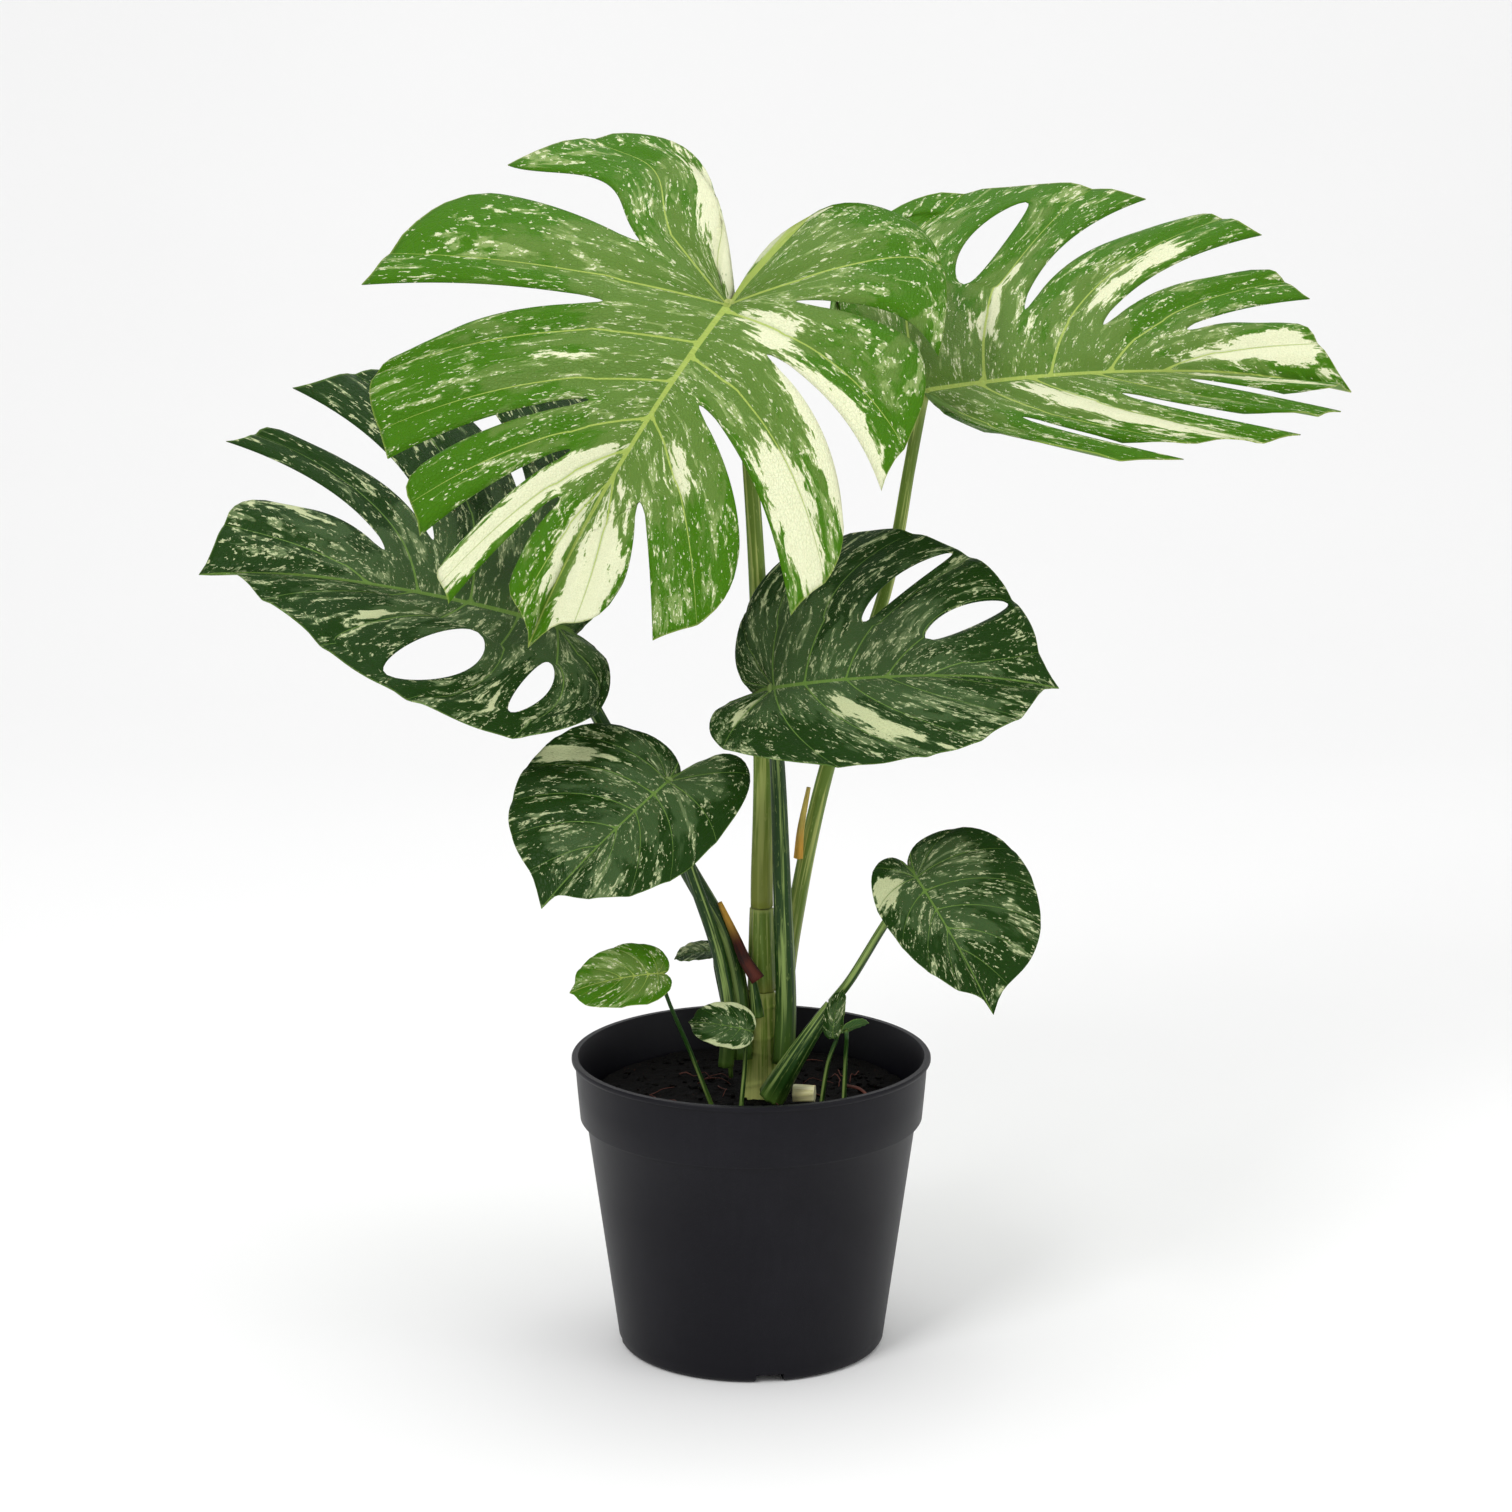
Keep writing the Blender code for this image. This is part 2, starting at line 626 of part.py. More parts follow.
def foot_pieces(green, pale, parts):
    """Sheaths, the cut stub and the roots."""
    dry = finish("dry_sheath", (0.16, 0.06, 0.02), 0.7)
    straw = finish("straw_sheath", (0.5, 0.38, 0.12), 0.6)
    cream = finish("cut_stub", (0.7, 0.66, 0.4), 0.6)
    low = STEM_HEIGHT / MM
    top = low + SHEATH_LENGTH / MM
    rows = (
        ("top_leaf_sheath", pale, 9, 7.5, [(6, 1, low + 0.3), (6, 1, (low + top) / 2), (6, 1, top)]),
        ("base_sheath", green, 8, 3.5, [(12, -22, 4.5), (21, -27, 22), (32, -27, 40), (46, -24, 60.4)]),
        ("green_sheath_point", green, 4, 1, [(3.5, -13, 50), (2, -12, 64), (-1, -9, 84)]),
        ("dry_sheath_strip", dry, 2.2, 2.6,
         [(-18.3, -2.5, 116), (-9.3, -5, 96), (-3.5, -12.5, 84), (4, -16, 73)]),
        ("dry_sheath_flap", straw, 2.6, 1.2, [(27.4, 15.1, 138), (28.9, 14.3, 156), (33.4, 16.3, 180)]),
        ("cut_stub", cream, 5, 5, [(24.5, -17, 5.2), (31, -18, 5.3), (37, -19, 5.4)]),
        ("soil_root_1", dry, 1, 0.8, [(-19, -38, 1.3), (-12, -44, 2.3), (-9, -54, 1.3), (-8, -62, 1.3)]),
        ("soil_root_2", dry, 1, 0.8, [(44, -48, 1.3), (48, -54, 4.3), (52, -62, 1.3), (51, -68, 1.3)]),
        ("soil_root_3", dry, 1, 0.8, [(66, -46, 1.3), (72, -42, 4.3), (78, -40, 1.3)]),
        ("soil_root_4", dry, 1, 0.8, [(-66, -44, 1.3), (-56, -38, 3.3), (-44, -36, 1.3)]),
        ("soil_root_5", dry, 1, 0.8, [(56, 10, 1.3), (64, -4, 3.3), (70, -20, 1.3)]),
    )
    for name, skin, start, end, way in rows:
        tube(name, [over(*place) for place in way], start * MM, end * MM, skin, parts, 8)


def main():
    clear_scene()
    parts = collection("potted_monstera_plant")
    cutters = collection("cutters")
    young = finish("young_leaf", (0.16, 0.3, 0.07), 0.4)
    dark = finish("dark_leaf", (0.05, 0.13, 0.04), 0.4)
    green = finish("dark_stalk", (0.05, 0.13, 0.03), 0.45)
    pale = finish("pale_stalk", (0.28, 0.36, 0.1), 0.45)
    pot(finish("black_pot", (0.02, 0.021, 0.023), 0.55), parts, cutters)
    soil(finish("soil", (0.02, 0.014, 0.01), 0.95), parts, cutters)
    stem(finish("pale_stem", (0.42, 0.48, 0.2), 0.5), parts)
    big_leaves(young, dark, green, pale, parts)
    small_leaves(dark, green, parts)
    foot_pieces(green, pale, parts)


main()
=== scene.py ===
"""A potted monstera with cream-marbled leaves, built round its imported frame."""
import logging
import math
import random
from dataclasses import dataclass, field
from enum import Enum
from typing import Callable, Sequence, Union

import bpy
from mathutils import Euler, Matrix, Vector, noise


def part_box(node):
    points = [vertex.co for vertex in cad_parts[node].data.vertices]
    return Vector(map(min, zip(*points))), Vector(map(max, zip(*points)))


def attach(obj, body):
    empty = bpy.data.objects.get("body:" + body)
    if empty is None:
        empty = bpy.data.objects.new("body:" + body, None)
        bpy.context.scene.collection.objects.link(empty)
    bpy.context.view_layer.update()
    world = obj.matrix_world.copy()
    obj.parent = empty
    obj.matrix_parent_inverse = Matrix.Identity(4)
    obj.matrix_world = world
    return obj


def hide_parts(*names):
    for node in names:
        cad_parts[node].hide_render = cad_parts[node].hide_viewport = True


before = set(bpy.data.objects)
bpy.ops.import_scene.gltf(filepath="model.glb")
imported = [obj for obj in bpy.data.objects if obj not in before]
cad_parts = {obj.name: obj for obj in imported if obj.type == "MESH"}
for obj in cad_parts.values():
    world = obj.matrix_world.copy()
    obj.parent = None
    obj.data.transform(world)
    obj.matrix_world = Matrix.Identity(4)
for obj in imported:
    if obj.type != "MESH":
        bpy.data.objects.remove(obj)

LOG = logging.getLogger("monstera")
MM = 0.001
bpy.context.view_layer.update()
SOIL_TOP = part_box("potting_soil")[1][2]
FINE = 1.0        # coarser blades while trying things out
ROUND = 1.0       # coarser stalks, likewise

# ---- The growth rule of a blade ------------------------------------------------------------
#
# A half blade is laid out by two numbers. The station runs along its uncut margin from the
# notch by the stalk, 0, to the tip, 1. The share runs out along a side vein from the midrib,
# 0, to the margin, 1. A cut is a slit or a hole that follows one side vein.

WIDEST = 0.4                   # station of the widest place
HEEL_EASE = 4                  # powers: the higher, the nearer to its end a change stays
TIP_EASE = 24
NOTCH_EASE = 8
SHOULDER_EASE = 5
HOOK_EASE = 6
MOUTH_EASE = 1.4
VEIN_GAP = 0.15                # stations between two main side veins
VEIN_PLACE = 0.55              # where a main side vein runs in its part of a lobe
VEIN_ROOTS = 0.6               # the foremost side vein leaves the midrib at this share of it
LOBE_START = 0.5               # a lobe's shoulder and hook shape it beyond this share
SLIT_END = 2.6                 # millimetres, half the width of a slit's round end
SLIT_ROUND = 0.12              # the share of a slit's run that its round end takes
MOUTH_LOW = 0.25               # share of a slit's mouth that the lower lobe gives
SLIT_RUNS = (0.02, 0.06, 0.12, 0.22, 0.4, 0.65)
GROWN = 230                    # millimetres, the length of blade that reliefs are given for

Piece = bpy.types.Object
Material = bpy.types.Material
Socket = bpy.types.NodeSocket
Value = Union[float, Sequence[float], Socket]
Triple = tuple[float, float, float]
Colour = Triple


@dataclass(frozen=True)
class Cut:
    """A slit, which opens at the margin, or a hole, which closes again at its outer share."""
    station: float
    inner: float
    width: float
    outer: float = 1.0
    belly: float = 0.0           # how far a slit cuts into its lower lobe half way out

    @property
    def is_slit(self) -> bool:
        """True for a slit, which reaches the margin."""
        return self.outer >= 1.0


@dataclass(frozen=True)
class Patch:
    """A place on a half blade that has grown without green, as a soft oval."""
    station: float
    share: float
    wide: float
    long: float
    strength: float = 1.0

    def amount(self, station: float, share: float) -> float:
        """How strongly the patch shows at a place, from 0 to its strength."""
        across, along = (station - self.station) / self.wide, (share - self.share) / self.long
        return self.strength * math.exp(-(across ** 2 + along ** 2))


@dataclass(frozen=True)
class Half:
    """One side of a blade: its width, its reach behind the stalk, its cuts and pale patches."""
    width: float
    back: float
    taper: float = 0.9
    cuts: tuple[Cut, ...] = ()
    pale: tuple[Patch, ...] = ()
    spread: float = 0.0          # how far the notch opens on this side, or closes if negative
    bow: tuple[float, float] = (0.1, 0.1)    # how side veins bow back, by the notch and the tip
    lobes: tuple[float, ...] = ()            # how far each lobe stands out, from the notch
    forward: float = 0.15                    # widest place, as a share of the length

    @property
    def stops(self) -> list[float]:
        """The stations where strips of blade meet: notch, cuts and tip."""
        return [0.0] + [cut.station for cut in self.cuts] + [1.0]

    @property
    def lobe_ends(self) -> list[float]:
        """The stations where lobes meet: notch, slits and tip."""
        return [0.0] + [cut.station for cut in self.cuts if cut.is_slit] + [1.0]

    def veins(self) -> list[float]:
        """Space the main side veins out over each lobe.

        Returns:
            The stations of the veins.
        """
        found = []
        for low, high in zip(self.lobe_ends, self.lobe_ends[1:]):
            count = max(1, round((high - low) / VEIN_GAP))
            found += [low + (high - low) * (i + VEIN_PLACE) / count for i in range(count)]
        return found


class Side(Enum):
    """Which half of a blade, seen from above with its tip away from the viewer."""
    LEFT = 1
    RIGHT = -1


@dataclass(frozen=True)
class Leaf:
    """A blade's growth and its stance. Lengths are millimetres and angles are degrees."""
    name: str
    length: float
    left: Half
    right: Half
    at: Triple
    heading: float
    rise: float
    roll: float
    droop: float = 20
    fold: tuple[float, float] = (4, 4)
    curl: float = 8
    tip: float = 0.1
    shoulder: float = 0.22
    hook: float = 0.06
    sickle: float = 0.05         # how far a lobe's end swings to the tip, as a share of the length
    heel: float = 8
    puff: float = 3.4            # how far the blade swells between two veins
    arch: float = 8.0            # how far a lobe's edges hang below its vein
    wave: float = 2.2            # how far the margin ripples
    thickness: float = 0.8
    grain: float = 1.0           # a small leaf has a coarser mesh, with a lower grain

    def half(self, side: Side) -> Half:
        """The half blade on one side."""
        return self.left if side is Side.LEFT else self.right

    def margin(self, half: Half, station: float) -> Vector:
        """A point on the uncut margin.

        Args:
            half: The half blade.
            station: How far along the margin.

        Returns:
            The place along the midrib and out from it, in millimetres.
        """
        if station < WIDEST:
            share = station / WIDEST
            turn = math.pi * (1 - share)
            along = half.forward * self.length * share ** 2 - half.back * math.sin(turn)
            close = 0.5 + 0.5 * math.cos(turn)
            rise = (1 - half.spread) * close + half.spread * math.sin(math.pi / 2 * share)
            return Vector((along - self.heel * (1 - share) ** HEEL_EASE, half.width * rise))
        share = (station - WIDEST) / (1 - WIDEST)
        turn = share * math.pi / 2
        run = (1 - self.tip) * math.sin(turn) + self.tip * share ** TIP_EASE
        along = half.forward * self.length + self.length * (1 - half.forward) * run
        return Vector((along, half.width * max(0.0, math.cos(turn)) ** half.taper))

    def along_margin(self, half: Half, station: float, step: float) -> Vector:
        """Which way the uncut margin runs at a station."""
        return (self.margin(half, station + step) - self.margin(half, station - step)).normalized()

    def vein_point(self, half: Half, station: float, reach: float) -> Vector:
        """A point on a side vein, which leaves the midrib and bends forward as it runs out.

        Args:
            half: The half blade.
            station: The vein's station.
            reach: How far out along the vein, where 1 is the margin.

        Returns:
            The place along the midrib and out from it, in millimetres.
        """
        share = max(0.0, (station - WIDEST) / (1 - WIDEST))
        root = Vector((VEIN_ROOTS * self.length * share, 0))
        end = self.margin(half, station)
        amount = half.bow[0] + (half.bow[1] - half.bow[0]) * station
        bow = Vector((-amount, amount * 4 / 3 * station * (1 - station))) * (end - root).length
        return root.lerp(end, reach) + bow * (4 * reach * (1 - reach))

    def lobe_place(self, half: Half, station: float, low_side: bool) -> tuple[int, float]:
        """Find the lobe that a station is in.

        Args:
            half: The half blade.
            station: How far along the margin.
            low_side: Whether a station on a slit belongs to the lobe below it.

        Returns:
            The lobe's number from the notch, and how far across it the station is.
        """
        ends = half.lobe_ends
        number = sum(1 for s in ends[1:-1] if s < station or (s == station and not low_side))
        return number, (station - ends[number]) / (ends[number + 1] - ends[number])

    def lobe_reach(self, half: Half, number: int, share: float) -> float:
        """How far a lobe stands out: a round shoulder first, then a pointed hook.

        Args:
            half: The half blade.
            number: The lobe's number from the notch.
            share: How far across the lobe.

        Returns:
            The reach of the veins there, where 1 is the uncut margin.
        """
        last = len(half.lobe_ends) - 2
        extra = half.lobes[number] - 1 if half.lobes else 0.0
        if number == 0:
            extra *= 1 - (1 - share) ** NOTCH_EASE
        if number == last:
            extra *= 1 - share ** HOOK_EASE
        scale = 1 + extra
        if number > 0:
            scale -= self.shoulder * (1 - share) ** SHOULDER_EASE
        if number < last:
            scale += self.hook * share ** HOOK_EASE
        return scale

    def cut_offset(self, half: Half, cut: Cut, low_side: bool, share: float) -> Vector:
        """How far a cut's edge stands from the vein that it follows.

        Args:
            half: The half blade.
            cut: The slit or the hole.
            low_side: Whether the edge is the one nearer the notch.
            share: How far out from the midrib.

        Returns:
            The offset along the midrib and out from it, in millimetres.
        """
        if share <= cut.inner or share > cut.outer:
            return Vector((0, 0))
        run = (share - cut.inner) / (cut.outer - cut.inner)
        if cut.is_slit:
            mouth = cut.width * (MOUTH_LOW if low_side else 1 - MOUTH_LOW)
            wide = SLIT_END * math.sqrt(min(1, run / SLIT_ROUND)) * (1 - run) + mouth * run ** MOUTH_EASE
            wide += cut.belly * math.sin(math.pi * run) ** 2 if low_side else 0
        else:
            wide = cut.width / 2 * math.sqrt(max(0.0, math.sin(math.pi * run)))
        return self.along_margin(half, cut.station, 0.01) * (-wide if low_side else wide)

    def blade_point(self, half: Half, index: int, across: float, share: float) -> Vector:
        """A point of one strip of the flat blade.

        Args:
            half: The half blade.
            index: The strip's number, from the notch.
            across: 0 at the strip's lower cut and 1 at its upper one.
            share: How far out from the midrib.

        Returns:
            The place along the midrib and out from it, in millimetres.
        """
        stops = half.stops
        station = stops[index] + (stops[index + 1] - stops[index]) * across
        out = max(0.0, (share - LOBE_START) / (1 - LOBE_START)) ** 2
        number, place = self.lobe_place(half, station, across == 1.0)
        reach = share + (self.lobe_reach(half, number, place) - 1) * out
        point = self.vein_point(half, station, reach)
        if half.cuts and station < 1:
            swing = self.sickle * self.length * out * place ** 3 * (1 - station)
            point += self.along_margin(half, station, 0.005) * swing
        if index > 0:
            point += self.cut_offset(half, half.cuts[index - 1], False, share) * (1 - across)
        if index < len(half.cuts):
            point += self.cut_offset(half, half.cuts[index], True, share) * across
        return point

    def bend(self, side: Side, flat: Vector, lift: float) -> Vector:
        """Lay a flat point on the bent blade.

        Args:
            side: Which half the point is on.
            flat: The place along the midrib and out from it, in millimetres.
            lift: How far the point stands above the bent sheet, in millimetres.

        Returns:
            The place in the blade's own frame, in metres.
        """
        curve = math.radians(self.droop) / (self.length * MM)
        start = -math.radians(self.droop) / 2
        turn = start + curve * flat.x * MM
        spine = Vector(((math.sin(turn) - math.sin(start)) / curve, 0,
                        (math.cos(turn) - math.cos(start)) / curve))
        up = Vector((math.sin(turn), 0, math.cos(turn)))
        fold = math.radians(self.fold[0] if side is Side.LEFT else self.fold[1])
        out = flat.y * MM
        lean = fold - math.radians(self.curl) / (100 * MM) * abs(out) / 2
        rise = abs(out) * math.sin(lean) + lift * MM
        return spine + Vector((0, side.value * out * math.cos(lean), 0)) + up * rise

    def frame(self) -> Matrix:
        """Where the blade's own frame stands in the plant."""
        turn = Euler([math.radians(a) for a in (-self.roll, -self.rise, self.heading)])
        return Matrix.Translation(over(*self.at)) @ turn.to_matrix().to_4x4()

    def normal(self) -> Vector:
        """Which way the upper side faces at the stalk."""
        start = -math.radians(self.droop) / 2
        return self.frame().to_3x3() @ Vector((-math.sin(start), 0, math.cos(start)))


def over(x: float, y: float, height: float) -> Vector:
    """A point in the plant, from millimetres across, back and up from the soil."""
    return Vector((x * MM, y * MM, SOIL_TOP + height * MM))


# ---- Making meshes -------------------------------------------------------------------------


def start_clean() -> None:
    """Leave edit mode and deselect everything, so an operator acts on new work alone."""
    if bpy.context.object and bpy.context.object.mode != "OBJECT":
        bpy.ops.object.mode_set(mode="OBJECT")
    bpy.ops.object.select_all(action="DESELECT")


def sheet(name: str, columns: int, rows: int, place: Callable[[int, int], Vector]) -> Piece:
    """Add a grid and lay each of its points by a rule.

    Args:
        name: The new piece's name.
        columns: Number of cells across.
        rows: Number of cells along.
        place: Gives the point for a column and a row.

    Returns:
        The grid, as a piece at the origin.
    """
    start_clean()
    bpy.ops.mesh.primitive_grid_add(x_subdivisions=columns, y_subdivisions=rows, size=1)
    piece = bpy.context.object
    piece.name = name
    piece.data.name = name
    for vertex in piece.data.vertices:
        column, row = round((vertex.co.x + 0.5) * columns), round((vertex.co.y + 0.5) * rows)
        vertex.co = place(column, row)
    return piece


def mark(piece: Piece, name: str, values: Sequence[Sequence[float]]) -> None:
    """Store a vector for every point of a piece, for its finish to read.

    Args:
        piece: The piece, still a plain grid.
        name: What the finish calls the vector.
        values: One vector a point, row by row.
    """
    attribute = piece.data.attributes.new(name, "FLOAT_VECTOR", "POINT")
    for item, value in zip(attribute.data, values):
        item.vector = value


def choose(piece: Piece) -> None:
    """Select one piece alone and make it the active one."""
    start_clean()
    piece.select_set(True)
    bpy.context.view_layer.objects.active = piece


def join(pieces: list[Piece], name: str) -> Piece:
    """Join pieces into the first one, under a new name.

    Args:
        pieces: The pieces, of which the first one is kept.
        name: The joined piece's name.

    Returns:
        The joined piece.
    """
    choose(pieces[0])
    for piece in pieces:
        piece.select_set(True)
    if len(pieces) > 1:
        bpy.ops.object.join()
    pieces[0].name = name
    pieces[0].data.name = name
    return pieces[0]


def close_seams(piece: Piece, reach: float = 0.00002) -> None:
    """Merge the points that lie together and turn every face outwards.

    Args:
        piece: The piece.
        reach: How near two points lie that become one, in metres.
    """
    choose(piece)
    bpy.ops.object.mode_set(mode="EDIT")
    bpy.ops.mesh.select_all(action="SELECT")
    bpy.ops.mesh.remove_doubles(threshold=reach)
    bpy.ops.mesh.dissolve_degenerate(threshold=reach / 4)
    bpy.ops.mesh.normals_make_consistent(inside=False)
    bpy.ops.object.mode_set(mode="OBJECT")
    bpy.ops.object.shade_smooth()


def rolled(name: str, around: int, rows: int, ring: Callable[[float, int], Vector],
           reach: float = 0.0, runs: Sequence[tuple[float, float]] = ()) -> Piece:
    """Roll a grid into a closed round and close its seam and its ends.

    Args:
        name: The new piece's name.
        around: Number of cells round it.
        rows: Number of cells along it.
        ring: Gives the point at a turn, in radians, on a row.
        reach: The radius that the finish is laid out for, in metres.
        runs: How far along each row lies, in metres and as a share, for the finish.

    Returns:
        The round piece.
    """
    piece = sheet(name, around, rows, lambda column, row: ring(math.tau * (column % around) / around, row))
    if runs:
        turns = [math.tau * column / around for column in range(around + 1)]
        mark(piece, "flow", [(math.cos(turn) * reach, run, math.sin(turn) * reach)
                             for run, _ in runs for turn in turns])
        mark(piece, "growth", [(share, 0, 0) for _, share in runs for _ in turns])
    close_seams(piece)
    return piece


def apply_modifier(piece: Piece, kind: str, **settings: object) -> None:
    """Add a modifier with its settings and apply it.

    Args:
        piece: The piece.
        kind: The modifier's kind.
        **settings: What the modifier is set to.
    """
    choose(piece)
    modifier = piece.modifiers.new("Shape", kind)
    for key, value in settings.items():
        setattr(modifier, key, value)
    bpy.ops.object.modifier_apply(modifier=modifier.name)


def dress(piece: Piece, materials: Sequence[Material], slot: str, *nodes: str) -> None:
    """Give a piece its materials and its body, and hide the nodes that it stands for.

    Args:
        piece: The finished piece.
        materials: Its materials, or none where it has them already.
        slot: Its material slot; not used.
        *nodes: The nodes that it replaces.
    """
    if materials:
        piece.data.materials.clear()
    for material in materials:
        piece.data.materials.append(material)
    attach(piece, "root")
    if nodes:
        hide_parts(*nodes)
    LOG.info("%s: %d faces", piece.name, len(piece.data.polygons))


# ---- Finishes ------------------------------------------------------------------------------


class Bench:
    """A material's node tree, with short ways to add nodes to it."""

    def __init__(self, name: str, **constants: float) -> None:
        """Start a material.

        Args:
            name: The material's name.
            **constants: Inputs of its shader that are the same all over.
        """
        self.material = bpy.data.materials.new(name)
        self.material.use_nodes = True
        self.tree = self.material.node_tree
        self.shader = self.tree.nodes["Principled BSDF"]
        for key, value in constants.items():
            self.shader.inputs[key.replace("_", " ")].default_value = value

    def add(self, kind: str, inputs: dict[Union[str, int], Value], **settings: object) -> bpy.types.Node:
        """Add a node.

        Args:
            kind: The kind of node.
            inputs: Numbers for its inputs, or the outputs that feed them.
            **settings: What the node is set to.

        Returns:
            The node.
        """
        node = self.tree.nodes.new("ShaderNode" + kind)
        for key, value in settings.items():
            setattr(node, key, value)
        for key, value in inputs.items():
            if isinstance(value, Socket):
                self.tree.links.new(value, node.inputs[key])
            else:
                node.inputs[key].default_value = value
        return node

    def attribute(self, name: str) -> Socket:
        """A stored vector of the piece."""
        return self.add("Attribute", {}, attribute_name=name).outputs["Vector"]

    def growth(self) -> Sequence[Socket]:
        """The three numbers that the piece's growth stored on it."""
        return self.add("SeparateXYZ", {0: self.attribute("growth")}).outputs

    def place(self) -> Socket:
        """Where the point lies on the object."""
        return self.add("TexCoord", {}).outputs["Object"]

    def scaled(self, vector: Socket, scale: Triple) -> Socket:
        """A vector stretched along its axes."""
        return self.add("VectorMath", {0: vector, 1: scale}, operation="MULTIPLY").outputs[0]

    def noise(self, vector: Socket, scale: Union[float, Triple], detail: float = 3, rough: float = 0.6,
              twist: float = 0) -> Socket:
        """Soft noise.

        Args:
            vector: Where the noise is read.
            scale: How fine it is, either all round or along each axis.
            detail: How many finer layers it has.
            rough: How strong the finer layers are.
            twist: How far it is stirred.

        Returns:
            A number from 0 to 1.
        """
        if isinstance(scale, tuple):
            vector, scale = self.scaled(vector, scale), 1
        inputs = {"Vector": vector, "Scale": scale, "Detail": detail, "Roughness": rough, "Distortion": twist}
        return self.add("TexNoise", inputs).outputs["Fac"]

    def sum(self, kind: str, a: Value, b: Value = 0.0) -> Socket:
        """One step of arithmetic on two numbers."""
        return self.add("Math", {0: a, 1: b}, operation=kind).outputs[0]

    def times(self, value: Socket, factor: float, plus: Value = 0.0) -> Socket:
        """A number times a factor, with another one added if it isn't 0."""
        product = self.sum("MULTIPLY", value, factor)
        return product if plus == 0.0 else self.sum("ADD", product, plus)

    def sway(self, value: Socket, noise_value: Socket, factor: float) -> Socket:
        """A number that noise moves up and down."""
        return self.sum("ADD", value, self.times(self.sum("SUBTRACT", noise_value, 0.5), factor))

    def step(self, value: Socket, low: float, high: float) -> Socket:
        """A soft step that climbs from 0 to 1 between two values."""
        inputs = {"Value": value, "From Min": low, "From Max": high}
        return self.add("MapRange", inputs, interpolation_type="SMOOTHSTEP").outputs["Result"]

    def mix(self, amount: Socket, ground: Union[Socket, Colour], top: Union[Socket, Colour],
            most: float = 1.0) -> Socket:
        """Lay one colour over another.

        Args:
            amount: How much of the top one shows, from 0 to 1.
            ground: The colour below.
            top: The colour above.
            most: How much of the top one shows where the amount is 1.

        Returns:
            The blended colour.
        """
        node = self.add("Mix", {"Factor": amount if most == 1.0 else self.times(amount, most)},
                        data_type="RGBA")
        for socket, value in ((node.inputs[6], ground), (node.inputs[7], top)):
            if isinstance(value, Socket):
                self.tree.links.new(value, socket)
            else:
                socket.default_value = (*value, 1)
        return node.outputs[2]

    def finish(self, colour: Socket, roughness: Socket, height: Socket, depth: float,
               strength: float) -> Material:
        """Feed the shader its colour, roughness and fine relief.

        Args:
            colour: The surface's colour.
            roughness: The surface's roughness.
            height: The relief, from 0 to 1.
            depth: How deep the relief is, in metres.
            strength: How much of it shows.

        Returns:
            The finished material.
        """
        bump = self.add("Bump", {"Height": height, "Distance": depth, "Strength": strength})
        self.tree.links.new(colour, self.shader.inputs["Base Color"])
        self.tree.links.new(roughness, self.shader.inputs["Roughness"])
        self.tree.links.new(bump.outputs["Normal"], self.shader.inputs["Normal"])
        return self.material


@dataclass(frozen=True)
class LeafSkin:
    """Green leaf with cream marbling that streaks along the side veins, and a painted sheen that lightens it
    inward of the margin.
    """
    name: str
    deep: Colour
    # green under a painted sheen, laid inward of the margin; also the pale band beside the veins
    sheen_and_vein_green: Colour
    halo: Colour
    cream: Colour
    vein: Colour
    flecks: float                # lower is more flecks
    sectors: float = 0.5         # lower is more cream
    roughness: float = 0.42

    def green(self, bench: Bench, edge: Socket, broad: Socket, streak: Socket) -> Socket:
        """Mix the greens: a painted sheen lightens them inward and leaves them deeper to the margin, with
        grey streaks.

        Args:
            bench: The material's bench.
            edge: How far out a place is.
            broad: Broad noise.
            streak: Streaky noise.

        Returns:
            The green.
        """
        # painted sheen: inward of the margin the blade takes the sheened green, by the margin it keeps the
        # deep green
        reach = bench.sway(bench.sway(edge, broad, 2.2), streak, 0.9)
        green = bench.mix(bench.step(reach, 0.36, 0.62), self.sheen_and_vein_green, self.deep)
        tone = bench.times(broad, -0.35, streak)
        return bench.mix(bench.step(tone, 0.36, 0.46), green, self.halo, 0.75)

    def build(self) -> Material:
        """Make the material: green, then cream sectors and flecks, then veins and rim."""
        bench = Bench(self.name, Specular_IOR_Level=0.1, Subsurface_Weight=0.02, Subsurface_Scale=0.004)
        flow = bench.attribute("flow")
        rib, pale, edge = bench.growth()
        broad = bench.noise(flow, (34, 11, 3), 3, 0.6, 0.4)
        streak = bench.noise(flow, (150, 30, 3), 5, 0.62, 0.5)
        speck = bench.noise(flow, (600, 170, 5), 3, 0.6, 0.3)
        dust = bench.noise(flow, (1500, 500, 9), 2)
        amount = bench.sway(bench.sway(bench.sway(pale, broad, 0.7), streak, 1.7), speck, 0.35)
        sector = bench.step(amount, self.sectors, self.sectors + 0.04)
        near = bench.step(amount, self.sectors - 0.14, self.sectors + 0.01)
        green = bench.mix(near, self.green(bench, edge, broad, streak), self.halo, 0.8)
        fleck = bench.step(bench.sway(speck, streak, 0.7), self.flecks, self.flecks + 0.03)
        cream = bench.mix(bench.step(dust, 0.45, 0.7), self.cream, self.halo, 0.3)
        body = bench.mix(bench.sum("MAXIMUM", sector, bench.times(fleck, 0.8)), green, cream)
        body = bench.mix(bench.step(rib, 4.5, 0.8), body, self.sheen_and_vein_green, 0.3)
        body = bench.mix(bench.step(rib, 1.1, 0.75), body, self.vein, 0.85)
        body = bench.mix(bench.step(edge, 0.992, 1.0), body, self.vein, 0.5)
        rough = bench.times(dust, 0.16, self.roughness - 0.08)
        net = bench.add("TexVoronoi", {"Vector": bench.scaled(flow, (420, 260, 4)), "Scale": 1.0},
                        feature="DISTANCE_TO_EDGE")
        veinlets = bench.step(net.outputs["Distance"], 0.0, 0.12)
        relief = bench.times(veinlets, 0.5, bench.times(speck, 0.7))
        return bench.finish(body, rough, relief, 0.0006, 0.7)


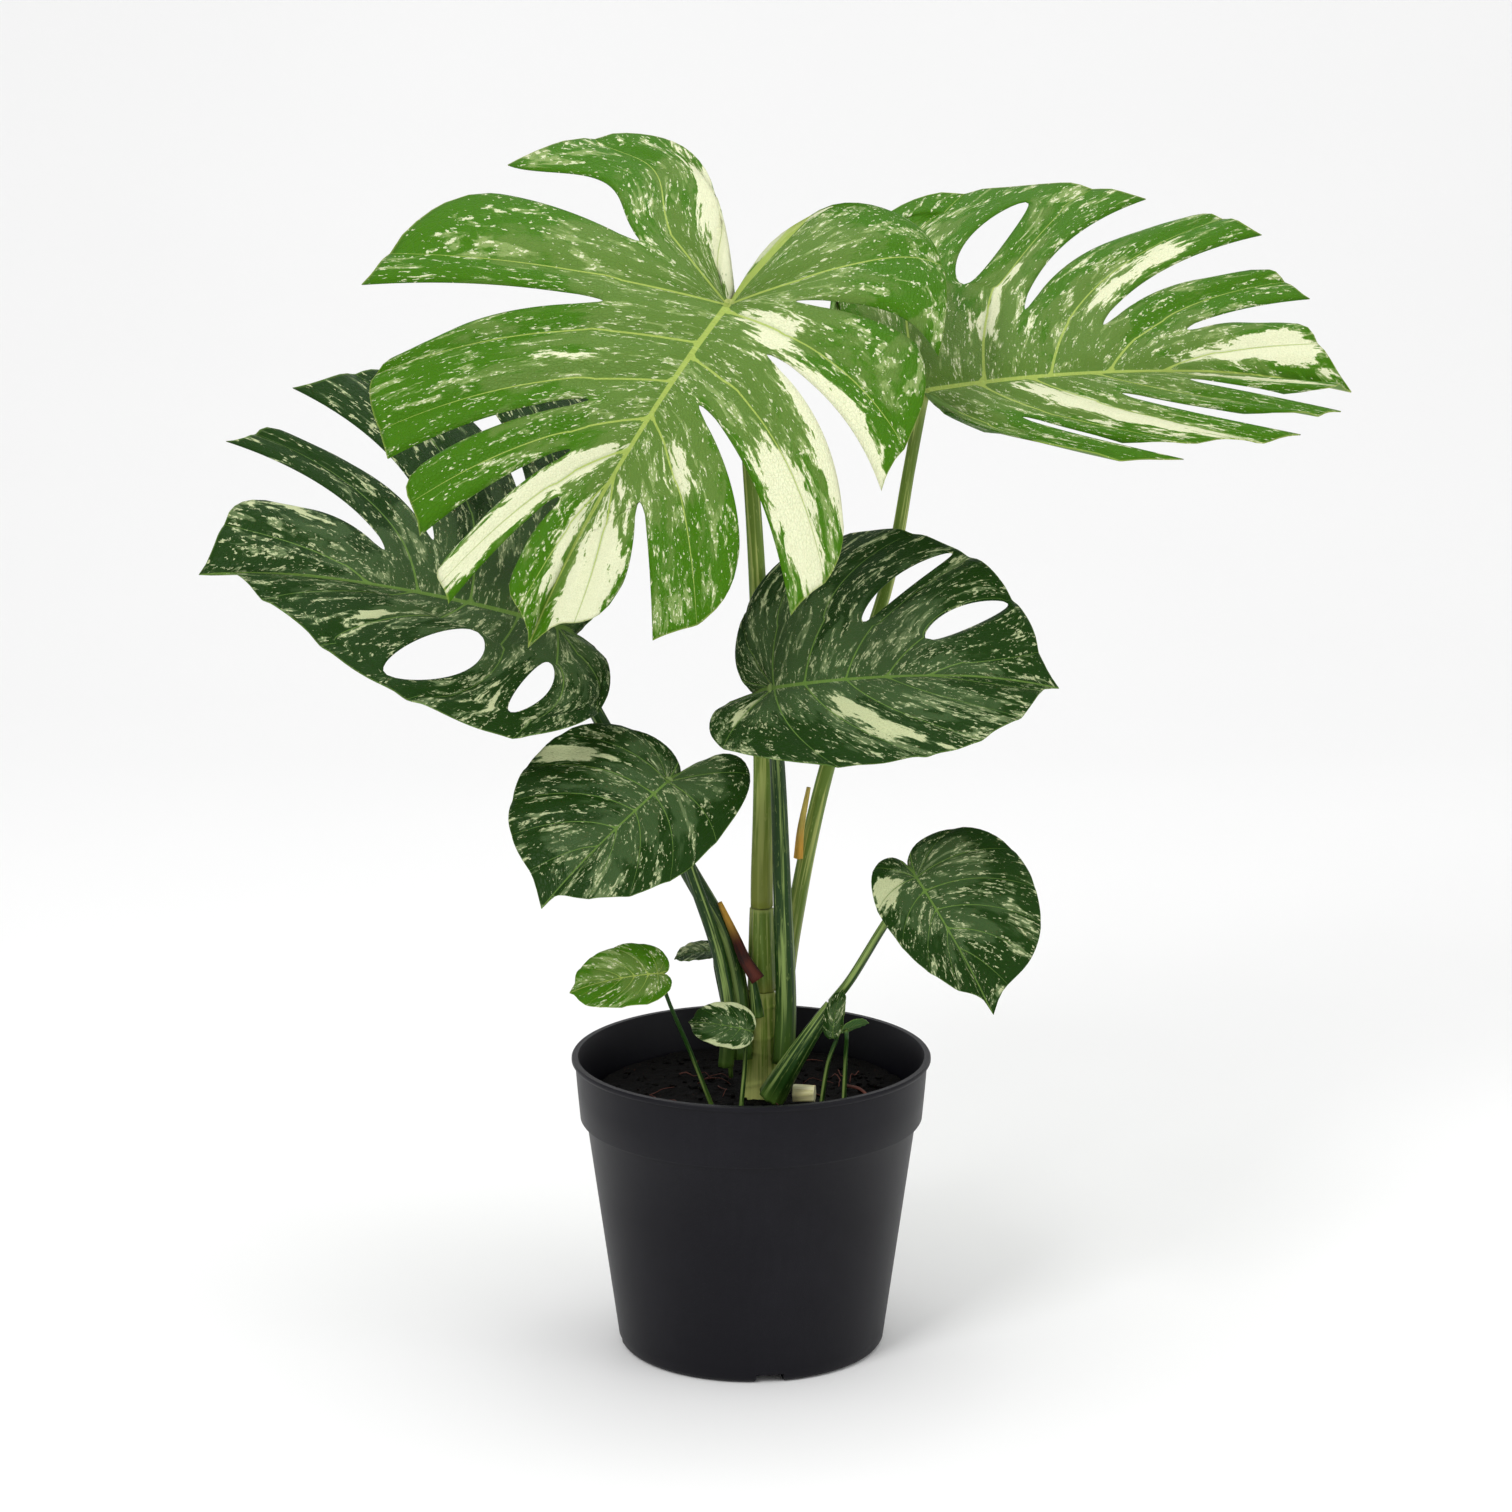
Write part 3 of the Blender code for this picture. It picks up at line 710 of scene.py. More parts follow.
@dataclass(frozen=True)
class Underside:
    """The paler, duller lower side of a leaf."""
    name: str
    ground: Colour
    pale: Colour
    vein: Colour

    def build(self) -> Material:
        """Make the material: two tones in streaks, then veins."""
        bench = Bench(self.name, Specular_IOR_Level=0.12, Subsurface_Weight=0.02, Subsurface_Scale=0.004)
        rib, pale, _ = bench.growth()
        streak = bench.noise(bench.attribute("flow"), (210, 34, 3), 4, 0.62, 0.5)
        body = bench.mix(bench.step(bench.sway(pale, streak, 1.5), 0.30, 0.42), self.ground, self.pale)
        body = bench.mix(bench.step(rib, 1.4, 0.8), body, self.vein, 0.8)
        return bench.finish(body, bench.times(streak, 0.15, 0.5), streak, 0.0008, 0.4)


@dataclass(frozen=True)
class StalkSkin:
    """A smooth ridged stalk, with pale lines and freckles along it."""
    name: str
    ground: Colour
    stripe: Colour
    foot: Colour
    amount: float = 0.55         # lower is more stripe
    foot_reach: float = 0.22     # how far up the foot's colour goes, as a share
    roughness: float = 0.4

    def build(self) -> Material:
        """Make the material: lines, freckles, a pale foot and a pale knee."""
        bench = Bench(self.name, Specular_IOR_Level=0.2, Subsurface_Weight=0.02, Subsurface_Scale=0.003)
        flow = bench.attribute("flow")
        share = bench.growth()[0]
        lines = bench.noise(flow, (330, 9, 330), 3, 0.6, 0.2)
        specks = bench.noise(flow, (900, 160, 900), 2)
        body = bench.mix(bench.step(lines, self.amount - 0.05, self.amount + 0.08), self.ground, self.stripe)
        body = bench.mix(bench.step(specks, 0.62, 0.68), body, self.stripe, 0.45)
        body = bench.mix(bench.step(share, self.foot_reach, 0.0), body, self.foot, 0.8)
        body = bench.mix(bench.step(share, 0.94, 1.0), body, self.stripe, 0.6)
        rough = bench.times(specks, 0.2, self.roughness - 0.1)
        return bench.finish(body, rough, bench.times(lines, 0.8, bench.times(specks, 0.2)), 0.0008, 0.5)


@dataclass(frozen=True)
class DrySheath:
    """Papery dead sheath with brown fibres along it."""
    name: str
    dark: Colour
    light: Colour
    head: Colour                 # at the end that it starts from

    def build(self) -> Material:
        """Make the material: fibres and blots, and another colour at the head."""
        bench = Bench(self.name, Specular_IOR_Level=0.3)
        flow = bench.attribute("flow")
        fibres = bench.noise(flow, (700, 25, 700), 4, 0.7, 0.3)
        blots = bench.noise(flow, (120, 60, 120))
        both = bench.times(fibres, 0.6, bench.times(blots, 0.4))
        body = bench.mix(bench.step(both, 0.38, 0.62), self.dark, self.light)
        body = bench.mix(bench.step(bench.growth()[0], 0.55, 0.15), body, self.head)
        return bench.finish(body, bench.times(blots, 0.2, 0.6), fibres, 0.001, 0.8)


@dataclass(frozen=True)
class NurseryPlastic:
    """Thin black nursery plastic with a fine matt grain and faint dust."""
    name: str
    black: Colour = (0.0032, 0.0030, 0.0056)
    dusty: Colour = (0.0058, 0.0056, 0.0088)

    def build(self) -> Material:
        """Make the material: clouds of dust and faint runs down the wall."""
        bench = Bench(self.name, Specular_IOR_Level=0.17)
        place = bench.place()
        cloud = bench.noise(place, 14, 4)
        runs = bench.noise(place, (260, 260, 7))
        amount = bench.times(cloud, 0.8, bench.times(runs, 0.2))
        body = bench.mix(bench.step(amount, 0.42, 0.72), self.black, self.dusty)
        return bench.finish(body, bench.times(cloud, 0.12, 0.4), bench.noise(place, 1500, 2), 0.0002, 0.35)


@dataclass(frozen=True)
class PottingMix:
    """Dark crumbly potting mix with brown fibres and bark crumbs."""
    name: str
    black: Colour = (0.0012, 0.001, 0.0009)
    brown: Colour = (0.006, 0.0038, 0.0025)
    fibre: Colour = (0.10, 0.035, 0.018)

    def build(self) -> Material:
        """Make the material: two dark tones with fibres over them."""
        bench = Bench(self.name, Specular_IOR_Level=0.1)
        place = bench.place()
        crumbs = bench.noise(place, 260, 5, 0.7)
        fibres = bench.noise(place, (900, 160, 500), 3, 0.6, 1.2)
        body = bench.mix(bench.step(crumbs, 0.48, 0.75), self.black, self.brown)
        body = bench.mix(bench.step(fibres, 0.69, 0.74), body, self.fibre, 0.8)
        return bench.finish(body, bench.times(crumbs, 0.2, 0.75), crumbs, 0.003, 0.9)


YOUNG = LeafSkin("young_blade", (0.048, 0.160, 0.001), (0.105, 0.200, 0.030), (0.27, 0.37, 0.12),
                 (0.75, 0.77, 0.52), (0.38, 0.49, 0.10), 0.63, 0.37)
MATURE = LeafSkin("mature_blade", (0.010, 0.040, 0.002), (0.045, 0.092, 0.026), (0.17, 0.24, 0.10),
                  (0.56, 0.61, 0.34), (0.15, 0.27, 0.05), 0.62, 0.42)
YOUNG_BACK = Underside("young_underside", (0.13, 0.24, 0.05), (0.60, 0.63, 0.36), (0.42, 0.5, 0.17))
MATURE_BACK = Underside("mature_underside", (0.05, 0.115, 0.03), (0.36, 0.42, 0.2), (0.24, 0.34, 0.11))


# ---- Blades --------------------------------------------------------------------------------


@dataclass
class Blade:
    """A leaf blade: strips between its cuts, swollen between the veins, with a thin edge."""
    leaf: Leaf
    columns: int = 76            # along each margin
    rows: int = 40               # from the midrib out
    midrib: float = 2.0          # millimetres, half width by the stalk
    midrib_taper: float = 0.7    # the share of it that is lost by the tip
    side_vein: float = 0.75
    valley: float = 7            # millimetres from a vein to where the blade has swollen
    hang_from: float = 0.25      # the share where a lobe's edges start to hang
    ripples: float = 31          # radians of ripple along a margin

    def stations(self) -> list[float]:
        """Place the columns alike on both halves, so that these meet along the midrib.

        Returns:
            The stations, in order.
        """
        fixed = {0.0, 1.0}
        for half in (self.leaf.left, self.leaf.right):
            fixed |= set(half.stops) | set(half.veins())
        count = max(16, round(self.columns * FINE * self.leaf.grain))
        gap = 0.4 / count
        even = [i / count for i in range(1, count)]
        return sorted(fixed | {s for s in even if min(abs(s - f) for f in fixed) > gap})

    def shares(self, half: Half) -> list[float]:
        """Place the rows, closer together at the round ends of the cuts.

        Args:
            half: The half blade.

        Returns:
            The shares, in order.
        """
        fixed = {0.0, 1.0}
        for cut in half.cuts:
            runs = (0.0, *SLIT_RUNS)
            if not cut.is_slit:
                runs += (1.0, *(1 - run for run in SLIT_RUNS))
            fixed |= {round(cut.inner + (cut.outer - cut.inner) * run, 5) for run in runs}
        count = max(10, round(self.rows * FINE * self.leaf.grain))
        gap = 0.3 / count
        even = [i / count for i in range(1, count)]
        return sorted(fixed | {s for s in even if min(abs(s - f) for f in fixed) > gap})

    def relief(self, half: Half, station: float, share: float, flat: Vector) -> tuple[float, float]:
        """How a point stands above the bent sheet, and how near a vein it is.

        Args:
            half: The half blade.
            station: The point's station.
            share: The point's share.
            flat: The point on the flat blade, in millimetres.

        Returns:
            The lift in millimetres, and the distance from a vein in half widths of it.
        """
        leaf = self.leaf
        size = leaf.length / GROWN
        nearest = min(half.veins(), key=lambda s: abs(s - station))
        away = (leaf.vein_point(half, station, share) - leaf.vein_point(half, nearest, share)).length
        ahead = max(0.0, min(1.0, flat.x / leaf.length))
        main = abs(flat.y) / (self.midrib * size * (1 - self.midrib_taper * ahead))
        side = away / (self.side_vein * size * (1.15 - share))
        ends = half.lobe_ends
        low = max(s for s in ends if s <= station) if station < 1 else ends[-2]
        high = min(s for s in ends if s > low)
        lobe = 2 * (station - low) / (high - low) - 1
        hang = leaf.arch * size * lobe * lobe * max(0.0, share - self.hang_from) ** 1.5
        swell = leaf.puff * size * (1 - math.exp(-(min(away, abs(flat.y)) / (self.valley * size)) ** 2))
        phase = 1.7 * leaf.length            # no two blades ripple alike
        ripple = leaf.wave * size * share ** 4 * math.sin(self.ripples * station + phase)
        return swell - hang + ripple, min(main, side)

    def strip(self, side: Side, index: int) -> Piece:
        """Make the strip of blade between two cuts, with its growth stored on it.

        Args:
            side: Which half it is on.
            index: Its number, from the notch.

        Returns:
            The strip, a sheet without thickness.
        """
        leaf = self.leaf
        half = leaf.half(side)
        low, high = half.stops[index], half.stops[index + 1]
        columns = [s for s in self.stations() if low <= s <= high]
        rows = self.shares(half)
        stance = leaf.frame()
        own = leaf.length * 0.37             # no two blades are marbled alike
        flow: dict[tuple[int, int], Triple] = {}
        growth: dict[tuple[int, int], Triple] = {}

        def place(column: int, row: int) -> Vector:
            """Lay one point, and note how it grew."""
            station, share = columns[column], rows[row]
            flat = leaf.blade_point(half, index, (station - low) / (high - low), share)
            lift, near = self.relief(half, station, share, flat)
            pale = sum(patch.amount(station, share) for patch in half.pale)
            layer = side.value * min(1.0, 8 * share) * 0.4 + own
            flow[row, column] = (station * 1.8 * leaf.length * MM, share * leaf.length * MM, layer)
            growth[row, column] = (near, pale, share)
            return stance @ leaf.bend(side, flat, lift)

        piece = sheet("%s_%d" % (side.name.lower(), index), len(columns) - 1, len(rows) - 1, place)
        mark(piece, "flow", [flow[key] for key in sorted(flow)])
        mark(piece, "growth", [growth[key] for key in sorted(growth)])
        return piece

    def build(self, name: str, upper: Material, lower: Material, slot: str) -> None:
        """Join the strips, close them along the veins and give the blade its thickness.

        Args:
            name: The blade's name, which is also the node that it replaces.
            upper: The finish of the upper side.
            lower: The finish of the lower side.
            slot: The material slot.
        """
        strips = [self.strip(side, index) for side in Side
                  for index in range(len(self.leaf.half(side).stops) - 1)]
        piece = join(strips, "leaf_" + name)
        close_seams(piece)
        up = self.leaf.normal()
        if sum(face.normal.dot(up) for face in piece.data.polygons) < 0:
            piece.data.flip_normals()
        piece.data.materials.append(upper)
        piece.data.materials.append(lower)
        apply_modifier(piece, "SOLIDIFY", thickness=self.leaf.thickness * MM, offset=0.0,
                       material_offset=1, use_even_offset=False)
        dress(piece, (), slot, name)


# ---- Stalks --------------------------------------------------------------------------------

CURVE_STEPS = 24               # between two given points of a path
THIN = 2                       # millimetres; a sheath that starts thinner gets a coarser mesh
END_CAPS = (0.0, 0.55, 0.85)   # radii that close a stalk's end, as shares of its own


def smooth_path(points: Sequence[Vector], count: int) -> list[Vector]:
    """Draw a smooth curve through points.

    Args:
        points: The points that it passes.
        count: How many even steps it gets.

    Returns:
        The ends of the steps.
    """
    path = [points[0] * 2 - points[1], *points, points[-1] * 2 - points[-2]]
    fine = []
    for a, b, c, d in zip(path, path[1:], path[2:], path[3:]):
        for i in range(CURVE_STEPS):
            t = i / CURVE_STEPS
            fine.append(0.5 * (2 * b + (c - a) * t + (2 * a - 5 * b + 4 * c - d) * t * t
                               + (3 * b - a - 3 * c + d) * t ** 3))
    fine.append(points[-1])
    lengths = [0.0]
    for a, b in zip(fine, fine[1:]):
        lengths.append(lengths[-1] + (b - a).length)
    result = []
    spot = 0
    for i in range(count + 1):
        goal = lengths[-1] * i / count
        while spot < len(lengths) - 2 and lengths[spot + 1] < goal:
            spot += 1
        span = max(1e-9, lengths[spot + 1] - lengths[spot])
        result.append(fine[spot].lerp(fine[spot + 1], min(1.0, (goal - lengths[spot]) / span)))
    return result


@dataclass
class Stalk:
    """A ridged tube that follows a curve, with closed ends. Lengths are millimetres."""
    name: str
    way: Sequence[Vector]
    start: float
    end: float
    ridges: int = 7
    ridge: float = 0.035         # as a share of the radius
    knee: float = 0.0            # a swelling below the blade, as a share of the radius
    around: int = 28
    along: int = 60

    def shape(self) -> Piece:
        """Roll a grid round the stalk's path.

        Returns:
            The stalk, without its finish.
        """
        around = max(6, round(self.around * ROUND))
        along = max(8, round(self.along * ROUND))
        path = smooth_path(self.way, along)
        total = sum((b - a).length for a, b in zip(path, path[1:]))
        side = Vector((1, 0, 0)) if abs((path[1] - path[0]).normalized().x) < 0.9 else Vector((0, 1, 0))
        frames = []
        for i, point in enumerate(path):
            ahead = (path[min(i + 1, along)] - path[max(i - 1, 0)]).normalized()
            side = (side - ahead * side.dot(ahead)).normalized()
            frames.append((point, side.copy(), ahead.cross(side)))
        rings = [(0, cap) for cap in END_CAPS] + [(i, 1.0) for i in range(along + 1)]
        rings += [(along, cap) for cap in reversed(END_CAPS)]

        def ring(turn: float, row: int) -> Vector:
            """Lay one point of the tube."""
            index, cap = rings[row]
            point, right, up = frames[index]
            share = index / along
            radius = self.start + (self.end - self.start) * share
            radius *= 1 + self.ridge * math.cos(self.ridges * turn + 2.0 * share)
            radius *= 1 + self.knee * math.exp(-((share - 0.97) / 0.05) ** 2)
            radius *= cap * MM
            return point + right * (radius * math.cos(turn)) + up * (radius * math.sin(turn))

        runs = [(index / along * total, index / along) for index, _ in rings]
        return rolled(self.name, around, len(rings) - 1, ring, self.start * MM, runs)

    def build(self, material: Material, slot: str, *nodes: str) -> None:
        """Make the stalk and dress it."""
        dress(self.shape(), [material], slot, *nodes)


# ---- Pot, soil and stem --------------------------------------------------------------------


@dataclass
class NurseryPot:
    """A tapered pot with a lip, a banded rim and drain notches. Lengths are millimetres."""
    height: float = 174
    rim: float = 105
    base: float = 77.8
    band: float = 37
    band_step: float = 3.5
    band_taper: float = 3
    lip: float = 3
    overhang: float = 1.8
    wall: float = 2.2
    floor: float = 3
    chamfer: float = 2.5
    drain: Triple = (36, 16, 8)
    drains: int = 4
    drain_turn: float = 8
    around: int = 128

    def body(self, height: float) -> float:
        """Outer radius of the body at a height."""
        shoulder = self.rim - self.overhang - self.band_taper - self.band_step
        return self.base + (shoulder - self.base) * height / (self.height - self.band)

    def profile(self) -> list[tuple[float, float]]:
        """Draw the wall's outline, from the middle of the base round to the middle of the floor.

        Returns:
            Radii and heights, in metres.
        """
        low = self.height - self.band
        top = self.rim - self.overhang
        mouth = top - self.wall
        under = self.height - self.lip
        inside = self.body(self.floor) - self.wall
        rows = [
            (0, 0), (self.body(0) - self.chamfer, 0),
            (self.body(0) - 0.8, 0.8), (self.body(self.chamfer), self.chamfer),
            (self.body(self.drain[2]), self.drain[2]),
            (self.body(low / 3), low / 3), (self.body(low * 2 / 3), low * 2 / 3),
            (self.body(low) - 0.3, low - 2), (self.body(low) + 0.6, low - 0.9),
            (top - self.band_taper - 0.6, low - 0.5), (top - self.band_taper, low + 0.4),
            (top - self.band_taper * 0.5, low + (self.band - self.lip) * 0.5),
            (top - 0.2, under - 0.4), (top + 0.2, under), (self.rim - 0.6, under),
            (self.rim, self.height - self.lip * 0.7), (self.rim, self.height - self.lip * 0.3),
            (self.rim - 0.6, self.height), (mouth + 0.4, self.height), (mouth, self.height - 0.5),
            (mouth - self.band_taper * 0.8, low + 6), (top - self.band_taper - self.wall, low + 2),
            (self.body(low) - self.wall, low - 1), (inside, self.floor + 0.6),
            (inside - 0.6, self.floor), (0, self.floor),
        ]
        return [(radius * MM, height * MM) for radius, height in rows]

    def build(self, material: Material) -> None:
        """Roll the pot from its outline and cut the drain notches in its foot.

        Args:
            material: The pot's finish.
        """
        rows = self.profile()

        def ring(turn: float, row: int) -> Vector:
            """Lay one point of the wall."""
            radius, height = rows[row]
            return Vector((radius * math.cos(turn), radius * math.sin(turn), height))

        piece = rolled("pot", self.around, len(rows) - 1, ring)
        reach = self.base * MM
        for index in range(self.drains):
            turn = math.radians(self.drain_turn - 90 + 360 / self.drains * index)
            start_clean()
            bpy.ops.mesh.primitive_cube_add(
                size=1, scale=[side * MM for side in self.drain], rotation=(0, 0, turn),
                location=(reach * math.cos(turn), reach * math.sin(turn), self.drain[2] * 0.1 * MM))
            cutter = bpy.context.object
            bpy.ops.object.transform_apply()
            apply_modifier(piece, "BOOLEAN", object=cutter, operation="DIFFERENCE", solver="EXACT")
            bpy.data.objects.remove(cutter)
        bpy.ops.object.shade_smooth_by_angle(angle=math.radians(35))
        dress(piece, [material], "black_pot", "nursery_pot")


@dataclass
class Soil:
    """The potting mix: an uneven crumbly top, loose crumbs and fine dead roots. Metres."""
    radius: float                # at the top
    low_radius: float
    floor: float
    mound: float = 0.0022
    dip: float = 0.0012          # how far the top lies below its box, except by the wall
    crumbs: int = 320
    crumb: float = 0.001         # a middling crumb's half length
    hairs: int = 26
    hair_step: float = 0.005
    seed: int = 7

    def height(self, x: float, y: float) -> float:
        """How high the top stands at a place.

        Args:
            x: Metres to the right.
            y: Metres to the back.

        Returns:
            The height in metres.
        """
        spot = Vector((x, y, 0))
        broad = noise.noise(spot * 38)
        fine = noise.noise(spot * 150 + Vector((3, 1, 0)))
        grit = noise.noise(spot * 420 + Vector((8, 5, 2)))
        edge = max(0.0, math.hypot(x, y) / self.radius - 0.8) / 0.2
        return SOIL_TOP - self.dip + self.mound * (0.7 * broad + 0.45 * fine + 0.3 * grit) + self.dip * edge

    def bed(self, material: Material) -> None:
        """Make the bed of mix as a closed body.

        Args:
            material: The mix's finish.
        """
        rings, around = ((46, 150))
        rows = [(self.radius * (i / rings) ** 0.8, None) for i in range(rings + 1)]
        rows += [(self.radius - 0.001, SOIL_TOP - 0.004), (self.low_radius, self.floor), (0, self.floor)]

        def ring(turn: float, row: int) -> Vector:
            """Lay one point of the bed."""
            reach, level = rows[row]
            x, y = reach * math.cos(turn), reach * math.sin(turn)
            return Vector((x, y, self.height(x, y) if level is None else level))

        dress(rolled("soil_bed", around, len(rows) - 1, ring), [material], "soil", "potting_soil")

    def scatter(self, material: Material) -> None:
        """Strew crumbs of bark and mix over the bed.

        Args:
            material: The mix's finish.
        """
        draw = random.Random(self.seed)
        start_clean()
        bpy.ops.mesh.primitive_ico_sphere_add(subdivisions=1, radius=self.crumb)
        crumb = bpy.context.object
        bpy.ops.object.mode_set(mode="EDIT")
        bpy.ops.mesh.select_all(action="SELECT")
        bpy.ops.transform.resize(value=(1.5, 1.0, 0.7))
        bpy.ops.mesh.bevel(offset=self.crumb / 5, offset_pct=0, segments=1, affect="VERTICES")
        bpy.ops.object.mode_set(mode="OBJECT")
        copies = []
        for _ in range(self.crumbs):
            turn, reach = draw.uniform(0, math.tau), self.radius * 0.95 * math.sqrt(draw.random())
            x, y = reach * math.cos(turn), reach * math.sin(turn)
            size = draw.uniform(0.6, 2.3)
            tumble = Euler([draw.uniform(-0.5, 0.5), draw.uniform(-0.5, 0.5), draw.uniform(0, 6)])
            sides = (size, size * draw.uniform(0.6, 1.3), size * draw.uniform(0.6, 1), 1)
            stance = Matrix.Translation((x, y, self.height(x, y) + 0.0002 * size))
            stance = stance @ tumble.to_matrix().to_4x4() @ Matrix.Diagonal(sides)
            copy = bpy.data.objects.new("crumb", crumb.data.copy())
            copy.data.transform(stance)
            bpy.context.scene.collection.objects.link(copy)
            copies.append(copy)
        bpy.data.objects.remove(crumb)
        dress(join(copies, "soil_crumbs"), [material], "soil")

    def roots(self, material: Material) -> None:
        """Lay fine dead roots over the bed.

        Args:
            material: The roots' finish.
        """
        draw = random.Random(self.seed + 1)
        strands = []
        for index in range(self.hairs):
            turn, reach = draw.uniform(0, math.tau), self.radius * draw.uniform(0.15, 0.85)
            heading = draw.uniform(0, math.tau)
            x, y = reach * math.cos(turn), reach * math.sin(turn)
            way = []
            for step in range(5):
                lift = 0.0006 + (0.0035 * draw.random() if step in (1, 2, 3) else 0)
                if math.hypot(x, y) < self.radius * 0.93:
                    way.append(Vector((x, y, self.height(x, y) + lift)))
                heading += draw.uniform(-0.9, 0.9)
                x += self.hair_step * math.cos(heading)
                y += self.hair_step * math.sin(heading)
            if len(way) > 2:
                hair = Stalk("hair_%d" % index, way, draw.uniform(0.25, 0.5), 0.2, 3, 0.1, around=6, along=9)
                strands.append(hair.shape())
        dress(join(strands, "soil_root_hairs"), [material], "root")


@dataclass
class Stem:
    """The short pale stem, with leaf scars round it. Millimetres."""
    axis: tuple[float, float] = (6, 1)
    radius: float = 12.5
    top_radius: float = 8.5
    height: float = 62
    depth: float = 30
    scars: tuple[float, ...] = (9, 24, 38, 50)
    scar_rise: float = 0.6
    scar_tilt: float = 3.5
    rows: int = 90
    around: int = 48

    def level(self, row: int) -> float:
        """How high a row lies over the soil; the first and the last two rows lie at the ends."""
        return -self.depth + (self.depth + self.height) * max(0, min(self.rows, row - 1)) / self.rows

    def point(self, turn: float, row: int) -> Vector:
        """Lay one point of the stem.

        Args:
            turn: Round the stem, in radians.
            row: Up the stem.

        Returns:
            The place in the plant.
        """
        height = self.level(row)
        share = max(0.0, height / self.height)
        radius = self.radius - self.scar_rise + (self.top_radius - self.radius) * share
        for number, scar in enumerate(self.scars):
            tilt = scar + self.scar_tilt * math.cos(turn + 2.4 * number)
            radius += self.scar_rise * math.exp(-((height - tilt) / 0.8) ** 2)
        radius += 0.25 * math.cos(5 * turn + 0.05 * height)
        radius = 0 if row in (0, self.rows + 2) else min(radius, self.radius - 0.1)
        return over(self.axis[0] + radius * math.cos(turn), self.axis[1] + radius * math.sin(turn), height)

    def build(self, material: Material) -> None:
        """Roll the stem, with a ridge at each scar."""
        levels = [self.level(row) for row in range(self.rows + 3)]
        runs = [(level * MM, max(0.0, level / self.height)) for level in levels]
        piece = rolled("stem", self.around, self.rows + 2, self.point, self.radius * MM, runs)
        dress(piece, [material], "pale_stem", "main_stem")


# ---- This plant ----------------------------------------------------------------------------

TOP_LEAF = Leaf(
    "top_leaf", 232,
    Half(145, 138, 0.9, (Cut(0.345, 0.22, 10, belly=5), Cut(0.485, 0.25, 34), Cut(0.655, 0.18, 26),
                         Cut(0.85, 0.36, 22)),
         (Patch(0.05, 0.75, 0.06, 0.3, 0.9), Patch(0.49, 0.7, 0.03, 0.4), Patch(0.60, 0.75, 0.04, 0.3),
          Patch(0.42, 0.2, 0.05, 0.12, 0.7), Patch(0.93, 0.7, 0.06, 0.5), Patch(0.75, 0.35, 0.03, 0.2, 0.6)),
         -0.5, (0.16, 0.02), (0.79, 0.90, 1.04, 0.97, 0.95)),
    Half(200, 122, 1.15, (Cut(0.31, 0.38, 30, belly=20), Cut(0.465, 0.32, 58), Cut(0.715, 0.26, 14),
                          Cut(0.82, 0.34, 22), Cut(0.90, 0.46, 16)),
         (Patch(0.07, 0.7, 0.09, 0.45), Patch(0.86, 0.6, 0.03, 0.6), Patch(0.97, 0.5, 0.02, 0.4, 0.7),
          Patch(0.62, 0.4, 0.015, 0.3, 0.4)), 0.8, (-0.08, 0.1), (0.96, 1.06, 0.97, 1.02, 1.13, 1)),
    (-13, 0, 461), -139, -50, 31, 30, (4, 0), 10, shoulder=0.16, hook=0.05)

UPPER_RIGHT_LEAF = Leaf(
    "upper_right_leaf", 250,
    Half(190, 60, 0.9, (Cut(0.49, 0.42, 24, 0.88), Cut(0.61, 0.30, 34), Cut(0.76, 0.28, 28),
                        Cut(0.88, 0.46, 16)),
         (Patch(0.72, 0.6, 0.03, 0.3, 0.6), Patch(0.95, 0.7, 0.03, 0.4), Patch(0.55, 0.4, 0.03, 0.3, 0.5)),
         lobes=(1, 1.06, 1.03, 1)),
    Half(84, 4, 1.0, (Cut(0.46, 0.48, 14), Cut(0.70, 0.40, 18), Cut(0.87, 0.40, 12)),
         (Patch(0.6, 0.6, 0.06, 0.5, 0.8), Patch(0.94, 0.6, 0.03, 0.5, 0.6)), -0.5, forward=0.42),
    (100, 50, 406), 1, 1, -34, 22, (4, 12), 8, shoulder=0.18, sickle=0.06)

LEFT_LEAF = Leaf(
    "left_leaf", 210,
    Half(90, 42, 2.3, (Cut(0.40, 0.30, 16, 0.80), Cut(0.56, 0.28, 34, 0.92)),
         (Patch(0.66, 0.6, 0.03, 0.4, 0.5), Patch(0.45, 0.7, 0.03, 0.3, 0.4)), forward=0.12),
    Half(198, 30, 1.0, (Cut(0.54, 0.40, 26), Cut(0.73, 0.28, 34), Cut(0.835, 0.28, 26)),
         (Patch(0.86, 0.8, 0.03, 0.3, 0.5), Patch(0.6, 0.4, 0.03, 0.3, 0.3)), forward=0.12,
         lobes=(1, 1.16, 1.2, 1.08)),
    (-111, 0, 278), 177, 9, 36, 20, (2, 2), 6, hook=0.1)

MIDDLE_RIGHT_LEAF = Leaf(
    "middle_right_leaf", 162,
    Half(114, 30, 0.9, (Cut(0.62, 0.38, 12, 0.97), Cut(0.80, 0.42, 17, 0.97)),
         (Patch(0.3, 0.6, 0.04, 0.3, 0.4),), forward=0.35),
    Half(64, 48, 1.3, pale=(Patch(0.55, 0.5, 0.05, 0.5, 0.6), Patch(0.2, 0.4, 0.06, 0.3, 0.4)),
         forward=0.35),
    (13, -50, 252), 1, 1, -37, 22, (2, 2), 5)

LOWER_LEFT_LEAF = Leaf(
    "lower_left_leaf", 102, Half(51, 44, 1.5, forward=0.25),
    Half(70, 20, 0.68, pale=(Patch(0.45, 0.8, 0.05, 0.3, 0.8),), forward=0.3),
    (-47, -45, 197), -154, -39, 36, 15, (3, 3), 8, tip=0.16, thickness=0.7, grain=0.7)

